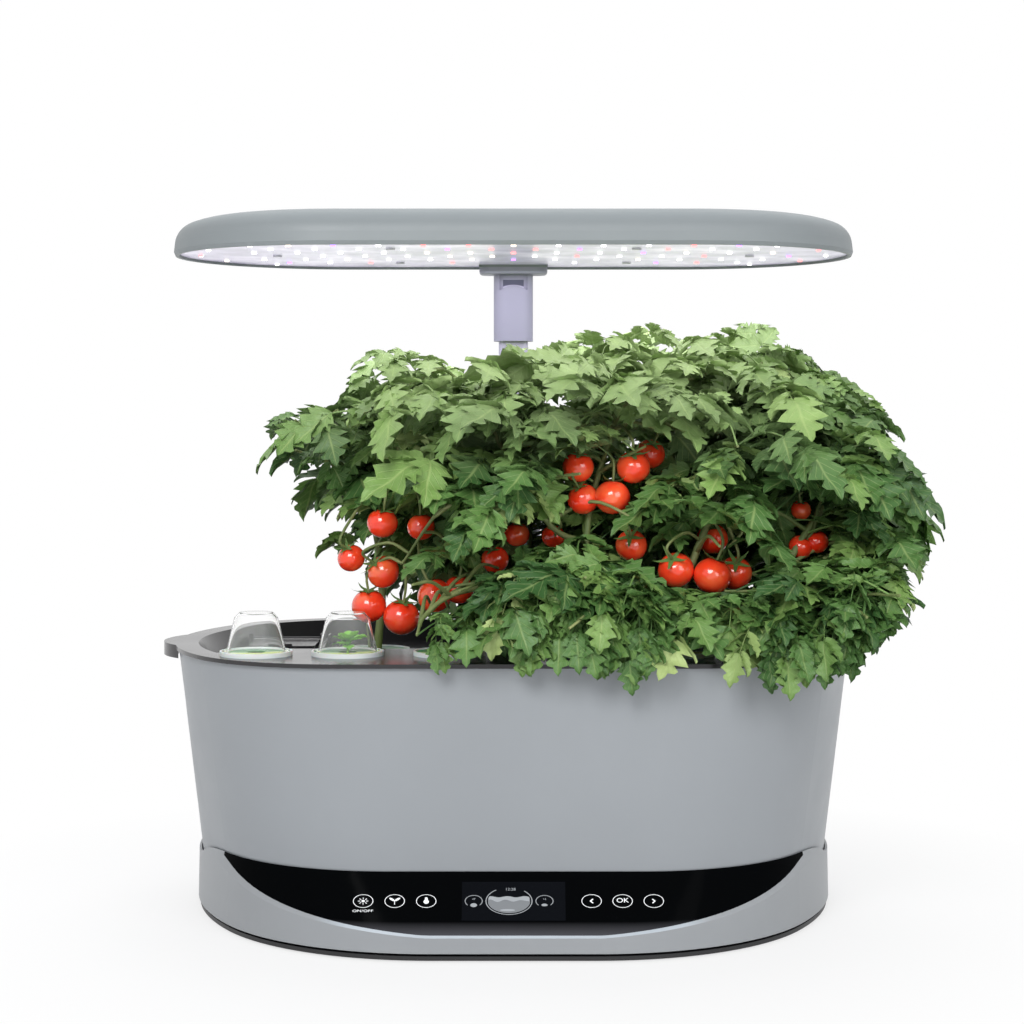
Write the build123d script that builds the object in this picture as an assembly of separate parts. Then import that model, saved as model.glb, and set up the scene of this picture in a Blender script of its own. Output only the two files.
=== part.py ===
from build123d import *

# Countertop hydroponic garden: a grey water bowl on a console base, a dark grow deck with nine
# seed pods, a lamp hood on a telescoping mast, and the tomato plants that grow in the deck.
# Millimetres. +Z is up, -Y is the front. The origin is on the worktop, under the middle of the deck.
import os
from dataclasses import dataclass, fields, replace
from math import atan2, cos, degrees, hypot, radians, sin

os.makedirs("parts", exist_ok=True)

# ---------------------------------------------------------------- footprints
CORNER_TURN = radians(60)  # share of each quarter that the tighter corner arc turns


@dataclass(frozen=True)
class Oval:
    """A flat-fronted oval: straight front and rear, corner arcs, and wider side arcs."""

    half_width: float
    front: float
    rear: float
    widest: float  # y where the oval is widest
    front_corner: float
    rear_corner: float

    def grown(self, g):
        return Oval(
            self.half_width + g,
            self.front - g,
            self.rear + g,
            self.widest,
            self.front_corner + g,
            self.rear_corner + g,
        )

    def toward(self, other, share):
        mixed = [
            getattr(self, f.name) + share * (getattr(other, f.name) - getattr(self, f.name))
            for f in fields(self)
        ]
        return Oval(*mixed)

    def quarter(self, end, corner):
        """Five points of a quarter, from the end of the straight to the widest line."""
        depth = abs(end - self.widest)
        side = (depth - corner * (1 - cos(CORNER_TURN))) / cos(CORNER_TURN)
        flat = self.half_width - corner * sin(CORNER_TURN) - side * (1 - sin(CORNER_TURN))
        inward = 1 if end < self.widest else -1

        def at(turn):
            if turn <= CORNER_TURN:
                x, back = flat + corner * sin(turn), corner * (1 - cos(turn))
            else:
                x = flat + corner * sin(CORNER_TURN) + side * (sin(turn) - sin(CORNER_TURN))
                back = corner * (1 - cos(CORNER_TURN)) + side * (cos(CORNER_TURN) - cos(turn))
            return x, end + inward * back

        right_angle = radians(90)
        turns = (0, CORNER_TURN / 2, CORNER_TURN, (CORNER_TURN + right_angle) / 2, right_angle)
        return [at(t) for t in turns]

    def face(self, z):
        front = self.quarter(self.front, self.front_corner)
        rear = self.quarter(self.rear, self.rear_corner)

        def arcs(points, side):
            p = [Vector(side * x, y, z) for x, y in points]
            return [ThreePointArc(p[0], p[1], p[2]), ThreePointArc(p[2], p[3], p[4])]

        edges = [Line((-front[0][0], front[0][1], z), (front[0][0], front[0][1], z))]
        edges += arcs(front, 1)
        edges += arcs(rear[::-1], 1)
        edges += [Line((rear[0][0], rear[0][1], z), (-rear[0][0], rear[0][1], z))]
        edges += arcs(rear, -1)
        edges += arcs(front[::-1], -1)
        return make_face(edges)


# ---------------------------------------------------------------- driving sizes
rim_overhang = 2.2  # deck rim past the bowl's mouth
bowl_wall = 3.0
bowl_foot_half_width = 195.3
bowl_foot_front = -126.0
bowl_foot_rear = 126.0
bowl_foot_widest = 35.0
bowl_foot_front_corner = 115.0
bowl_foot_rear_corner = 75.0
bowl_mouth_half_width = 206.0
bowl_mouth_front = -140.0
bowl_mouth_rear = 140.0
bowl_mouth_widest = 0.0
bowl_mouth_corner = 96.0
base_half_width = 198.6
base_front = -151.0
base_rear = 154.0
base_widest = 35.0
base_front_corner = 140.0
base_rear_corner = 80.0
console_rear = -110.0  # the console shell is in front of this, the base shell behind it

foot_proud = 1.0  # rubber foot below the bottom cover
foot_inset, foot_width, foot_pocket = 6.0, 7.0, 1.2
cover_thickness = 2.4
base_draft = 0.8  # how far the base wall leans in from bottom to top
base_wall = 2.6
seat_height = 28.0  # floor of the recess that the bowl stands in
side_height = 34.0  # top of the base at its sides
console_height = 46.0  # top of the sloped console at the front
console_drop, console_run = 41.0, 28.0  # slope of the console face
console_side_run = 3.5  # how far the face leans out at the sides
console_foot_corner = 140.0
bowl_gap = 0.8  # between the bowl and the base around it
slope_rear = 158.0

bowl_height = 133.6
bowl_floor = 3.0
deck_thickness = 2.4
rim_width = 14.0
skirt_clearance = 0.8  # between the deck's skirt and the bowl's wall
recess_depth = 14.0
recess_slope = 8.0
plateau_rear = -59.0  # the raised front band of the deck ends here
ear_reach = 216.0
ear_radius = 52.0
ear_lip = 5.5

# rear notch that the mast stands in
notch_half_width = 28.0
notch_front = 102.0
notch_corner = 4.0

# seed pods
front_row_y = -94.0
front_row_x = (-149.0, -96.0, -37.0, 37.0, 96.0, 149.0)
rear_row = ((-88.0, 52.0), (0.0, 44.0), (88.0, 52.0))
hole_radius = 18.0
flange_radius = 21.0
flange_thickness = 1.2
flange_lip = 1.4
basket_top_radius = 16.6
basket_tip_radius = 9.6
basket_length = 60.0
basket_wall = 1.3
slot_width = 5.0
slot_top = 17.0
slot_count = 4
sponge_gap = 0.12
label_thickness = 0.6
label_hole = 5.5
dome_height = 23.0
dome_top_radius = 12.6
dome_wall = 0.9

# fill port on the left of the recess
port_x, port_y = -148.0, 48.0
port_width, port_depth = 40.0, 30.0
coaming = 4.0
lid_thickness = 2.0
hinge_pin = 1.5
hinge_clearance = 0.08

# mast
mast_y = 125.0
tube_wall = 2.3
tube_gap = 0.4
bushing_gap = 0.3
mast_width, mast_depth, mast_corner = 36.0, 30.0, 11.0
mast_bottom = 6.0
mast_top = 245.0
bushing_height = 6.0
lift_travel = 217.0  # of each of the two lower stages
top_travel = 86.0  # of the short top stage, which rests at its upper stop
tower_height = 66.0
tower_gap = 1.5
tower_corner = 8.0

# lamp hood
hood_length = 429.0
hood_depth = 214.0
hood_rear = 135.0
lamp_height = 239.0  # rim of the hood above the deck
hood_wall = 3.2
hood_rim_inset = 1.0
hood_rim_height = 2.4  # height of the widest line above the rim
hood_side = (8.0, 0.6)  # top of the upright side: height above the rim, and its lean inwards
hood_brow = 27.0  # where the rounded edge meets the crown, in from the widest line
hood_crown = 26.4
hood_crown_radius = 1130.0
hood_step = 11.0  # height where the inside of the rim turns in
sleeve_width, sleeve_depth, sleeve_corner = 26.6, 20.6, 8.0
sleeve_length = 45.0
flange_plate = (46.0, 26.0, 4.5)
window_width, window_height, window_arch = 19.0, 10.5, 14.0

# pump in the bowl
pump_x, pump_y = 52.0, 76.0
pump_radius = 25.0
pump_height = 24.0
impeller_radius = 14.0
shaft_radius = 2.0

# plants
stem_radius = 3.2
stem_fit = 0.1
canopy_rise = 136.0  # the leaves above this height over the deck are the canopy
plant_gap = 0.3

# ---------------------------------------------------------------- derived sizes
bowl_foot = Oval(
    bowl_foot_half_width,
    bowl_foot_front,
    bowl_foot_rear,
    bowl_foot_widest,
    bowl_foot_front_corner,
    bowl_foot_rear_corner,
)
bowl_mouth = Oval(
    bowl_mouth_half_width,
    bowl_mouth_front,
    bowl_mouth_rear,
    bowl_mouth_widest,
    bowl_mouth_corner,
    bowl_mouth_corner,
)
base_plan = Oval(
    base_half_width, base_front, base_rear, base_widest, base_front_corner, base_rear_corner
)
base_bottom = foot_proud + cover_thickness
rim_height = seat_height + bowl_height
deck_top = rim_height + deck_thickness
deck_plan = bowl_mouth.grown(rim_overhang)
recess_floor = deck_top - recess_depth
hood_bottom = deck_top + lamp_height
under_all = foot_proud - 2
over_all = hood_bottom + hood_crown
notch_rear = 170.0
hood_centre_y = hood_rear - hood_depth / 2
hood_end_radius = hood_depth / 2


def bowl_plan(z):
    """Outline of the bowl's outer wall at a height, also past its ends."""
    return bowl_foot.toward(bowl_mouth, (z - seat_height) / bowl_height)


def between(low, low_z, high, high_z):
    """A solid with straight walls between two ovals."""
    return loft([low.face(low_z), high.face(high_z)], ruled=True)


def block(x0, x1, y0, y1, z0, z1):
    """A box from corner to corner."""
    return Pos((x0 + x1) / 2, (y0 + y1) / 2, (z0 + z1) / 2) * Box(x1 - x0, y1 - y0, z1 - z0)


def rod(x, y, z0, z1, radius, top_radius=None):
    """An upright rod, tapered where a top radius is given."""
    centre = Pos(x, y, (z0 + z1) / 2)
    if top_radius is None:
        return centre * Cylinder(radius, z1 - z0)
    return centre * Cone(radius, top_radius, z1 - z0)


def upright(width, depth, corner, x, y, z0, z1):
    """An upright prism of rounded rectangular section."""
    plan = Plane((x, y, z0)) * RectangleRounded(width, depth, corner)
    return extrude(plan, z1 - z0, dir=(0, 0, 1))


def notch(grow, z0, z1):
    """The space at the rear that the mast stands in, grown on all its walls."""
    half = notch_half_width + grow
    front = notch_front - grow
    corner = notch_corner + grow
    return upright(2 * half, notch_rear - front, corner, 0, (front + notch_rear) / 2, z0, z1)


# ---------------------------------------------------------------- base
def console_slope(lower=0.0):
    """The solid under the console face, which slopes at the front and is upright at the rear."""
    seam = bowl_plan(console_height).grown(bowl_gap)
    foot = replace(
        seam,
        half_width=seam.half_width + console_side_run,
        front=seam.front - console_run,
        front_corner=console_foot_corner,
        rear=slope_rear,
        rear_corner=base_rear_corner,
    )
    seam = replace(seam, rear=slope_rear, rear_corner=base_rear_corner)
    return between(foot, console_height - console_drop - lower, seam, console_height - lower)


def base_prism(grow, z0, z1):
    """The base's outer wall, leaning in slightly as it rises."""
    rise = console_height - base_bottom

    def lean(z):
        return grow - base_draft * (z - base_bottom) / rise

    return between(base_plan.grown(lean(z0)), z0, base_plan.grown(lean(z1)), z1)


def base_side_profile():
    """What lies under the base's top edge, which climbs from the sides to the console."""
    climb_rear, climb_front = 8.0, -78.0
    middle = Vector(0, (climb_rear + climb_front) / 2, (side_height + console_height) / 2)
    under = Polyline(
        (0, climb_rear, side_height),
        (0, 200, side_height),
        (0, 200, -5),
        (0, -200, -5),
        (0, -200, console_height),
        (0, climb_front, console_height),
    )
    upper_bend = Bezier(
        (0, climb_front, console_height),
        (0, climb_front + 25, console_height),
        middle - Vector(0, 8, -2.5),
        middle,
    )
    lower_bend = Bezier(
        middle,
        middle + Vector(0, 8, -2.5),
        (0, climb_rear - 25, side_height),
        (0, climb_rear, side_height),
    )
    profile = make_face([under, upper_bend, lower_bend])
    return extrude(profile, 250, dir=(1, 0, 0), both=True)


panel_lip = 0.9
panel_depth = 3.0
panel_end_y = -72.0
console_top_point = Vector(0, bowl_plan(console_height).front - bowl_gap, console_height)
slope_down = Vector(0, -console_run, -console_drop).normalized()
slope_out = Vector(0, -console_drop, console_run).normalized()
display_width, display_height, display_thickness = 58.0, 23.0, 0.8
display_middle = console_top_point + slope_down * 17.5
display_plane = Plane(origin=display_middle, x_dir=(1, 0, 0), z_dir=slope_out)
screw_boss_radius, screw_hole_radius = 4.6, 1.5
base_screw_places = ((-165, -40), (165, -40), (-105, -104), (105, -104), (-145, 100), (145, 100))
board_posts = ((-62, -72), (58, -72), (-62, -12), (58, -12))
board_height = 9.0
vent_count, vent_pitch, vent_width = 7, 12.0, 4.0
jack_x, jack_z = 92.0, 15.0


def recess(z0, z1):
    """The space that the bowl's foot stands in."""
    return between(bowl_plan(z0).grown(bowl_gap), z0, bowl_plan(z1).grown(bowl_gap), z1)


def panel_zone():
    skin = console_slope() - console_slope(lower=panel_depth)
    inside_lip = base_prism(-panel_lip, 5, console_height)
    front_only = block(-210, 210, -200, panel_end_y, 0, 60)
    return (skin & inside_lip & front_only) - recess(0, 60)


def whole_base():
    body = base_prism(0, base_bottom, console_height) & console_slope() & base_side_profile()
    body -= recess(seat_height, 60) - notch(-tower_gap, seat_height - 1, 70)
    hollow = base_prism(-base_wall, base_bottom - 1, seat_height - base_wall)
    body -= hollow & console_slope(lower=9)
    body -= panel_zone()
    body -= display_plane * Pos(0, 0, -6) * Box(display_width + 6, display_height + 6, 9)
    tower_half = notch_half_width - tower_gap
    tower_front = notch_front + tower_gap
    tower_rear = base_plan.rear - 3
    tower = upright(
        2 * tower_half, tower_rear - tower_front, tower_corner, 0, (tower_front + tower_rear) / 2,
        base_bottom, tower_height,
    )
    tower = fillet(tower.faces().sort_by(Axis.Z)[-1].edges(), 4)
    body += tower
    body -= upright(
        mast_width, mast_depth, mast_corner, 0, mast_y, mast_bottom, tower_height + 5
    )
    for x, y in base_screw_places:
        body += rod(x, y, base_bottom, seat_height - base_wall + 0.5, screw_boss_radius)
        body -= rod(x, y, base_bottom - 1, base_bottom + 12, screw_hole_radius)
    rear = base_plan.rear
    body -= Pos(jack_x, rear - 3, jack_z) * Rot(90, 0, 0) * Cylinder(5.2, 12)
    return body


def console_zone():
    return block(-400, 400, -400, console_rear, under_all, over_all)


def control_panel():
    pocket = display_plane * Pos(0, 0, -display_thickness / 2) * Box(
        display_width, display_height, display_thickness + 0.001
    )
    return panel_zone() - pocket


def display_window():
    return display_plane * Pos(0, 0, -display_thickness / 2) * Box(
        display_width - 0.2, display_height - 0.2, display_thickness
    )


def display_module():
    """LCD module behind the fascia, bonded to its back."""
    back = -panel_depth * console_run / hypot(console_run, console_drop)
    thickness = 3.0
    return display_plane * Pos(0, -1.5, back - thickness / 2) * Box(
        display_width + 2, display_height, thickness
    )


def bottom_cover():
    cover = extrude(base_plan.grown(-1.2).face(foot_proud), cover_thickness, dir=(0, 0, 1))
    for x, y in board_posts:
        cover += rod(x, y, base_bottom, board_height, 3)
    for x, y in base_screw_places:
        cover -= rod(x, y, 0, 4, screw_hole_radius + 0.3)
        cover -= rod(x, y, 0, foot_proud + 1.3, 3.4)
    cover -= foot_band(0, foot_proud + foot_pocket)
    for i in range(vent_count):
        x = vent_pitch * (i - (vent_count - 1) / 2)
        cover -= block(x - vent_width / 2, x + vent_width / 2, 55, 85, 0, 4)
    return cover


def foot_band(z0, z1):
    """The rubber foot: one band all round, bedded in a groove of the bottom cover."""
    outside = base_plan.grown(-foot_inset)
    inside = outside.grown(-foot_width)
    band = extrude(outside.face(z0), z1 - z0, dir=(0, 0, 1))
    return band - extrude(inside.face(z0 - 1), z1 - z0 + 2, dir=(0, 0, 1))


def screw(x, y, z, head_radius, head_height, shank_radius, length):
    """A pan-head screw driven upwards."""
    body = rod(x, y, z, z + head_height, head_radius)
    return body + rod(x, y, z + head_height, z + head_height + length, shank_radius)


def base_screws():
    return Compound(
        children=[screw(x, y, foot_proud + 0.1, 3.0, 1.2, 1.4, 9) for x, y in base_screw_places]
    )


def main_board():
    x0, x1 = board_posts[0][0] - 6, board_posts[1][0] + 6
    y0, y1 = board_posts[0][1] - 6, board_posts[2][1] + 6
    board = block(x0, x1, y0, y1, board_height, board_height + 1.6)
    top = board_height + 1.6
    board += block(-20, 0, -50, -30, top, top + 2)
    board += block(20, 34, -60, -50, top, top + 5)
    for x in (-46, -34):
        board += rod(x, -30, top, top + 9, 4)
    return board


def power_jack():
    """Barrel inlet behind the rear wall, with its centre pin."""
    depth = 12.0
    rear = base_plan.rear - base_wall - 0.9
    body = block(jack_x - 6, jack_x + 6, rear - depth, rear, base_bottom, jack_z + 6)
    body -= Pos(jack_x, rear - 4.5 + 0.01, jack_z) * Rot(90, 0, 0) * Cylinder(3.0, 9)
    body += Pos(jack_x, rear - 5, jack_z) * Rot(90, 0, 0) * Cylinder(1.0, 8)
    return body


# ---------------------------------------------------------------- bowl
def bowl():
    outer = between(bowl_foot, seat_height, bowl_mouth, rim_height)
    floor_z = seat_height + bowl_floor
    above = rim_height + 5
    inner = between(
        bowl_plan(floor_z).grown(-bowl_wall), floor_z, bowl_plan(above).grown(-bowl_wall), above
    )
    body = outer - notch(0, under_all, over_all)
    body -= inner - notch(bowl_wall, under_all, over_all)
    post_top = floor_z + 2
    for turn in range(3):
        spot = Pos(pump_x, pump_y) * Rot(0, 0, 120 * turn) * Pos(pump_radius - 6, 0)
        body += spot * rod(0, 0, floor_z, post_top, 3)
    return body


# ---------------------------------------------------------------- pump
pump_floor = seat_height + bowl_floor + 2.0
pump_chamber = (pump_floor + 5.0, pump_floor + pump_height - 3.0)
riser_radius = 4.0


def pump_housing():
    z0, z1 = pump_floor, pump_floor + pump_height - 3
    body = rod(pump_x, pump_y, z0, z1, pump_radius)
    body -= rod(pump_x, pump_y, pump_chamber[0], z1 + 1, impeller_radius + 2)
    for turn in range(18):
        slot = Rot(0, 0, 20 * turn) * Pos(pump_radius - 2.5, 0) * Box(5.5, 2.6, pump_height - 12)
        body -= Pos(pump_x, pump_y, (z0 + z1) / 2) * slot
    body -= rod(pump_x, pump_y, z0 - 1, z0 + 3, impeller_radius - 3)
    body += rod(pump_x, pump_y, z0 + 2, pump_chamber[1] - 1, shaft_radius)
    return body


def pump_impeller():
    low, high = pump_chamber[0] + 1, pump_chamber[1] - 2
    hub = rod(pump_x, pump_y, low, high, shaft_radius + 3)
    hub += rod(pump_x, pump_y, low, low + 2, impeller_radius)
    for turn in range(6):
        blade = Pos(impeller_radius / 2 + 1, 0) * Box(impeller_radius - 3, 1.6, high - low)
        hub += Pos(pump_x, pump_y, (low + high) / 2) * Rot(0, 0, 60 * turn) * blade
    return hub - rod(pump_x, pump_y, low - 1, high + 1, shaft_radius + hinge_clearance)


def pump_cover():
    z0 = pump_floor + pump_height - 3
    body = rod(pump_x, pump_y, z0, z0 + 3, pump_radius)
    body += rod(pump_x, pump_y, z0 + 3, z0 + 12, riser_radius + 2.5)
    return body - rod(pump_x, pump_y, z0 - 1, z0 + 20, riser_radius)


def pump_riser():
    """Outlet tube that brings water up under the deck."""
    z0 = pump_floor + pump_height + 4
    top = recess_floor - deck_thickness - 14
    tube = rod(pump_x, pump_y, z0, top, riser_radius)
    return tube - rod(pump_x, pump_y, z0 - 1, top + 1, riser_radius - 1.5)


def pump_filter():
    """Foam ring around the intake."""
    z0 = pump_floor + 3
    ring = rod(pump_x, pump_y, z0, z0 + pump_height - 9, pump_radius + 4)
    return ring - rod(pump_x, pump_y, z0 - 1, z0 + pump_height, pump_radius)


# ---------------------------------------------------------------- deck
def plateau(shrink, z0, z1):
    """The raised front band that the front row of pods stands on."""
    reach = front_row_x[-1]
    radius = hole_radius + 9 - shrink
    plan = Pos(0, plateau_rear - 60 - shrink) * Rectangle(2 * reach, 120)
    for x in (-reach, reach):
        plan += Pos(x, front_row_y) * Circle(radius)
    plan += Pos(0, -150) * Rectangle(2 * reach + 2 * radius, 2 * (150 + front_row_y))
    return extrude(Pos(0, 0, z0) * plan, z1 - z0, dir=(0, 0, 1))


def pod_places():
    """Seat of each pod, from the front left: x, y and the height of its flange."""
    front = [(x, front_row_y, deck_top) for x in front_row_x]
    return front + [(x, y, recess_floor) for x, y in rear_row]


def ear(side, z0, z1):
    centre = side * (ear_reach - ear_radius)
    return rod(centre, -5, z0, z1, ear_radius)


def deck_skirt(inset, depth):
    """The space just inside the bowl's mouth, down to a depth."""
    low = rim_height - depth
    gap = -bowl_wall - skirt_clearance - inset
    return between(bowl_plan(low).grown(gap), low, bowl_plan(rim_height).grown(gap), rim_height)


def whole_deck():
    plate = extrude(deck_plan.face(rim_height), deck_thickness, dir=(0, 0, 1))
    lip_inside = bowl_mouth.grown(0.8)
    for side in (-1, 1):
        plate += ear(side, rim_height, deck_top)
        lip = ear(side, rim_height - ear_lip, rim_height)
        lip -= extrude(lip_inside.face(rim_height - ear_lip - 1), ear_lip + 2, dir=(0, 0, 1))
        plate += lip
    tray_plan = deck_plan.grown(deck_thickness - rim_width)
    tray_foot = tray_plan.grown(-recess_slope)
    tray = between(tray_foot, recess_floor - deck_thickness, tray_plan, deck_top)
    tray -= plateau(deck_thickness, under_all, rim_height)
    tray -= notch(bowl_wall + 1, under_all, rim_height)
    pocket_top = deck_plan.grown(-rim_width)
    pocket = between(pocket_top.grown(-recess_slope), recess_floor, pocket_top, deck_top)
    pocket += extrude(pocket_top.face(deck_top), 5, dir=(0, 0, 1))
    pocket -= plateau(0, under_all, over_all)
    pocket -= notch(bowl_wall + 1 + deck_thickness, under_all, over_all)
    skirt = deck_skirt(0, 7) - deck_skirt(2, 8)
    skirt -= notch(bowl_wall + 1, under_all, rim_height)
    deck = plate + tray + skirt - pocket
    for x, y, z in pod_places():
        collar = rod(x, y, z - 9, z, hole_radius + 2)
        deck += collar
        deck -= rod(x, y, z - 12, z + 1, hole_radius)
    deck += port(2, recess_floor - 0.5, recess_floor + coaming)
    deck -= port(0, under_all, over_all)
    hinge_y, hinge_z = hinge_line()
    for side in (-1, 1):
        x = port_x + side * (port_width / 2 + 3.5)
        hinge_ear = block(x - 1.5, x + 1.5, hinge_y - 4, hinge_y + 4, recess_floor - 0.5, hinge_z + 4)
        hinge_ear -= Pos(x, hinge_y, hinge_z) * Rot(0, 90, 0) * Cylinder(
            hinge_pin + hinge_clearance, 10
        )
        deck += hinge_ear
    return deck - notch(0, under_all, over_all)


def tray_zone():
    """What counts as the deck's tray: its sunken floor and all that stands on it."""
    zone = block(-400, 400, -200, 200, under_all, recess_floor)
    hinge_y, _ = hinge_line()
    half = port_width / 2 + 6
    front = port_y - port_depth / 2 - 4
    return zone + block(port_x - half, port_x + half, front, hinge_y + 4, recess_floor - 1, deck_top)


def collar_zone():
    """What counts as the collar round the mast's notch, above the tray."""
    return notch(bowl_wall + 1 + deck_thickness, recess_floor, over_all)


def port(grow, z0, z1):
    """The fill port's opening, grown on its sides."""
    half_x, half_y = port_width / 2 + grow, port_depth / 2 + grow
    return block(port_x - half_x, port_x + half_x, port_y - half_y, port_y + half_y, z0, z1)


def hinge_line():
    """y and z of the fill lid's hinge."""
    return port_y + port_depth / 2 + 5, recess_floor + coaming + 0.3 + lid_thickness / 2 + 1


def fill_lid():
    """Flap over the fill port, with trunnions moulded on its rear edge."""
    hinge_y, hinge_z = hinge_line()
    z0 = recess_floor + coaming + 0.3
    half = port_width / 2 + 1.5
    front = port_y - port_depth / 2 - 4
    lid = block(port_x - half, port_x + half, front, hinge_y, z0, z0 + lid_thickness)
    lid = fillet(lid.edges().filter_by(Axis.Z).sort_by(Axis.Y)[:2], 4)
    lid += Pos(port_x, hinge_y, hinge_z) * Rot(0, 90, 0) * Cylinder(2.0, port_width + 3)
    lid += Pos(port_x, hinge_y, hinge_z) * Rot(0, 90, 0) * Cylinder(hinge_pin, port_width + 9)
    grip = Pos(port_x, port_y - port_depth / 2 - 2, z0 + lid_thickness)
    return lid + grip * Box(14, 2, 2.4)


# ---------------------------------------------------------------- pods
def cone_radius(depth):
    """Outer radius of a basket at a depth below its flange."""
    return basket_top_radius + (basket_tip_radius - basket_top_radius) * depth / basket_length


def basket(x, y, z):
    body = rod(x, y, z, z + flange_thickness, flange_radius)
    rim = rod(x, y, z, z + flange_thickness + flange_lip, flange_radius)
    body += rim - rod(x, y, z, z + 10, flange_radius - 1.2)
    body += rod(x, y, z - basket_length, z, basket_tip_radius, basket_top_radius)
    reach = 4.0
    hollow = rod(
        x, y, z - basket_length - reach, z + reach,
        cone_radius(basket_length + reach) - basket_wall, cone_radius(-reach) - basket_wall,
    )
    body -= hollow
    slot_length = basket_length - slot_top + 10
    for i in range(slot_count):
        turn = Pos(x, y, z) * Rot(0, 0, 360 * i / slot_count - 90)
        body -= turn * Pos(12, 0, -slot_top - slot_length / 2) * Box(24, slot_width, slot_length)
    return body


def sponge(x, y, z):
    top, foot = 1.5, basket_length - 3
    inset = basket_wall + sponge_gap
    body = rod(x, y, z - foot, z - top, cone_radius(foot) - inset, cone_radius(top) - inset)
    return body - rod(x, y, z - top - 12, z, stem_radius)


def label(x, y, z):
    z0 = z + flange_thickness
    return rod(x, y, z0, z0 + label_thickness, flange_radius - 1.5) - rod(x, y, z0, z0 + 5, label_hole)


def dome(x, y, z):
    """Clear germination dome, open below."""
    z0 = z + flange_thickness + label_thickness
    foot = flange_radius - 2.2
    profile = Polyline(
        (0, dome_height), (dome_top_radius - 3, dome_height), (dome_top_radius, dome_height - 3),
        (foot - 1.6, 1.0), (foot, 1.0), (foot, 0), (foot - 1.6 - dome_wall, 0),
        (dome_top_radius - dome_wall, dome_height - 3.4),
        (dome_top_radius - 3.4, dome_height - dome_wall), (0, dome_height - dome_wall), (0, dome_height),
    )
    section = Plane.XZ * make_face(profile)
    return Pos(x, y, z0) * revolve(section, Axis.Z)


def seedling(x, y, z):
    """Stand-in for the young plant under the dome."""
    stem = rod(x, y, z - 9, z - 2, stem_radius - stem_fit) + rod(x, y, z - 3, z + 9, 1.6)
    return stem + rod(x, y, z + 8, z + 17, 9.5, 5.5)


# ---------------------------------------------------------------- mast
def stage_size(stage):
    """Width, depth and corner radius of a mast tube; stage 0 is the fixed one."""
    less = stage * 2 * (tube_wall + tube_gap)
    return mast_width - less, mast_depth - less, mast_corner - less / 2


def tube(stage, z0, z1):
    width, depth, corner = stage_size(stage)
    w = tube_wall
    outer = upright(width, depth, corner, 0, mast_y, z0, z1)
    return outer - upright(width - 2 * w, depth - 2 * w, corner - w, 0, mast_y, z0 - 1, z1 + 1)


def bushing(stage, z0):
    """Friction ring on top of a tube, around the next one."""
    width, depth, corner = stage_size(stage)
    inner_width, inner_depth, inner_corner = stage_size(stage + 1)
    gap = bushing_gap
    bore = (inner_width + 2 * gap, inner_depth + 2 * gap, inner_corner + gap)
    ring = upright(width, depth, corner, 0, mast_y, z0, z0 + bushing_height)
    return ring - upright(*bore, 0, mast_y, z0 - 1, z0 + bushing_height + 1)


def stage_top(stage):
    """Top of a tube below its bushing, with the mast's lower stages closed."""
    return mast_top + stage * (bushing_height + 0.5)


sleeve_top = hood_bottom - flange_plate[2]
sleeve_bottom = sleeve_top - sleeve_length
top_tube_top = hood_bottom - 8


def hood_sleeve():
    """Bracket under the hood: a socket on the top tube, with a flange plate above it."""
    width, depth, corner = stage_size(3)
    plate_width, plate_depth, _ = flange_plate
    body = upright(
        sleeve_width, sleeve_depth, sleeve_corner, 0, mast_y, sleeve_bottom, sleeve_top + 0.5
    )
    plate_y = hood_rear - 1 - plate_depth / 2
    plate = upright(plate_width, plate_depth, 8, 0, plate_y, sleeve_top, hood_bottom)
    plate = fillet(plate.faces().sort_by(Axis.Z)[0].edges(), 2)
    body += plate
    body -= upright(width, depth, corner, 0, mast_y, sleeve_bottom - 1, top_tube_top)
    front = mast_y - sleeve_depth / 2
    reach = sleeve_depth - depth
    window = Pos(0, front, sleeve_top - window_height / 2)
    window *= Box(window_width, reach, window_height)
    sill = sleeve_top - window_height + 3
    arch = Pos(0, front, sill - window_arch) * Rot(90, 0, 0) * Cylinder(window_arch, reach + 1)
    return body - (window - arch)


# ---------------------------------------------------------------- lamp hood
def stadium(inset, z):
    length, depth = hood_length - 2 * inset, hood_depth - 2 * inset
    return Pos(0, hood_centre_y, z) * SlotOverall(length, depth)


hood_boss_places = ((-150, 28), (-75, -30), (75, -30), (150, 28), (-75, 88), (75, 88))
board_under = hood_bottom + 3.6
board_thickness = 1.6
panel_under = hood_bottom + 1.6


def rear_block(grow, z0, z1):
    """Where the hood shell comes down to meet the sleeve's flange."""
    width, depth, _ = flange_plate
    half = width / 2 + grow
    front = hood_rear - 1 - depth - grow
    return block(-half, half, front, hood_rear - hood_wall + 0.5 + grow, z0, z1)


def two_arcs(start, start_way, end, end_way):
    """Two tangent arcs from one point and direction to another."""
    span = end - start
    a = 2 * (start_way.dot(end_way) - 1)
    b = -2 * span.dot(start_way + end_way)
    c = span.dot(span)
    reach = (-b - (b * b - 4 * a * c) ** 0.5) / (2 * a)
    joint = (start + end + (start_way - end_way) * reach) * 0.5
    first = TangentArc(start, joint, tangent=start_way)
    return [first, TangentArc(joint, end, tangent=first % 1)]


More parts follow.
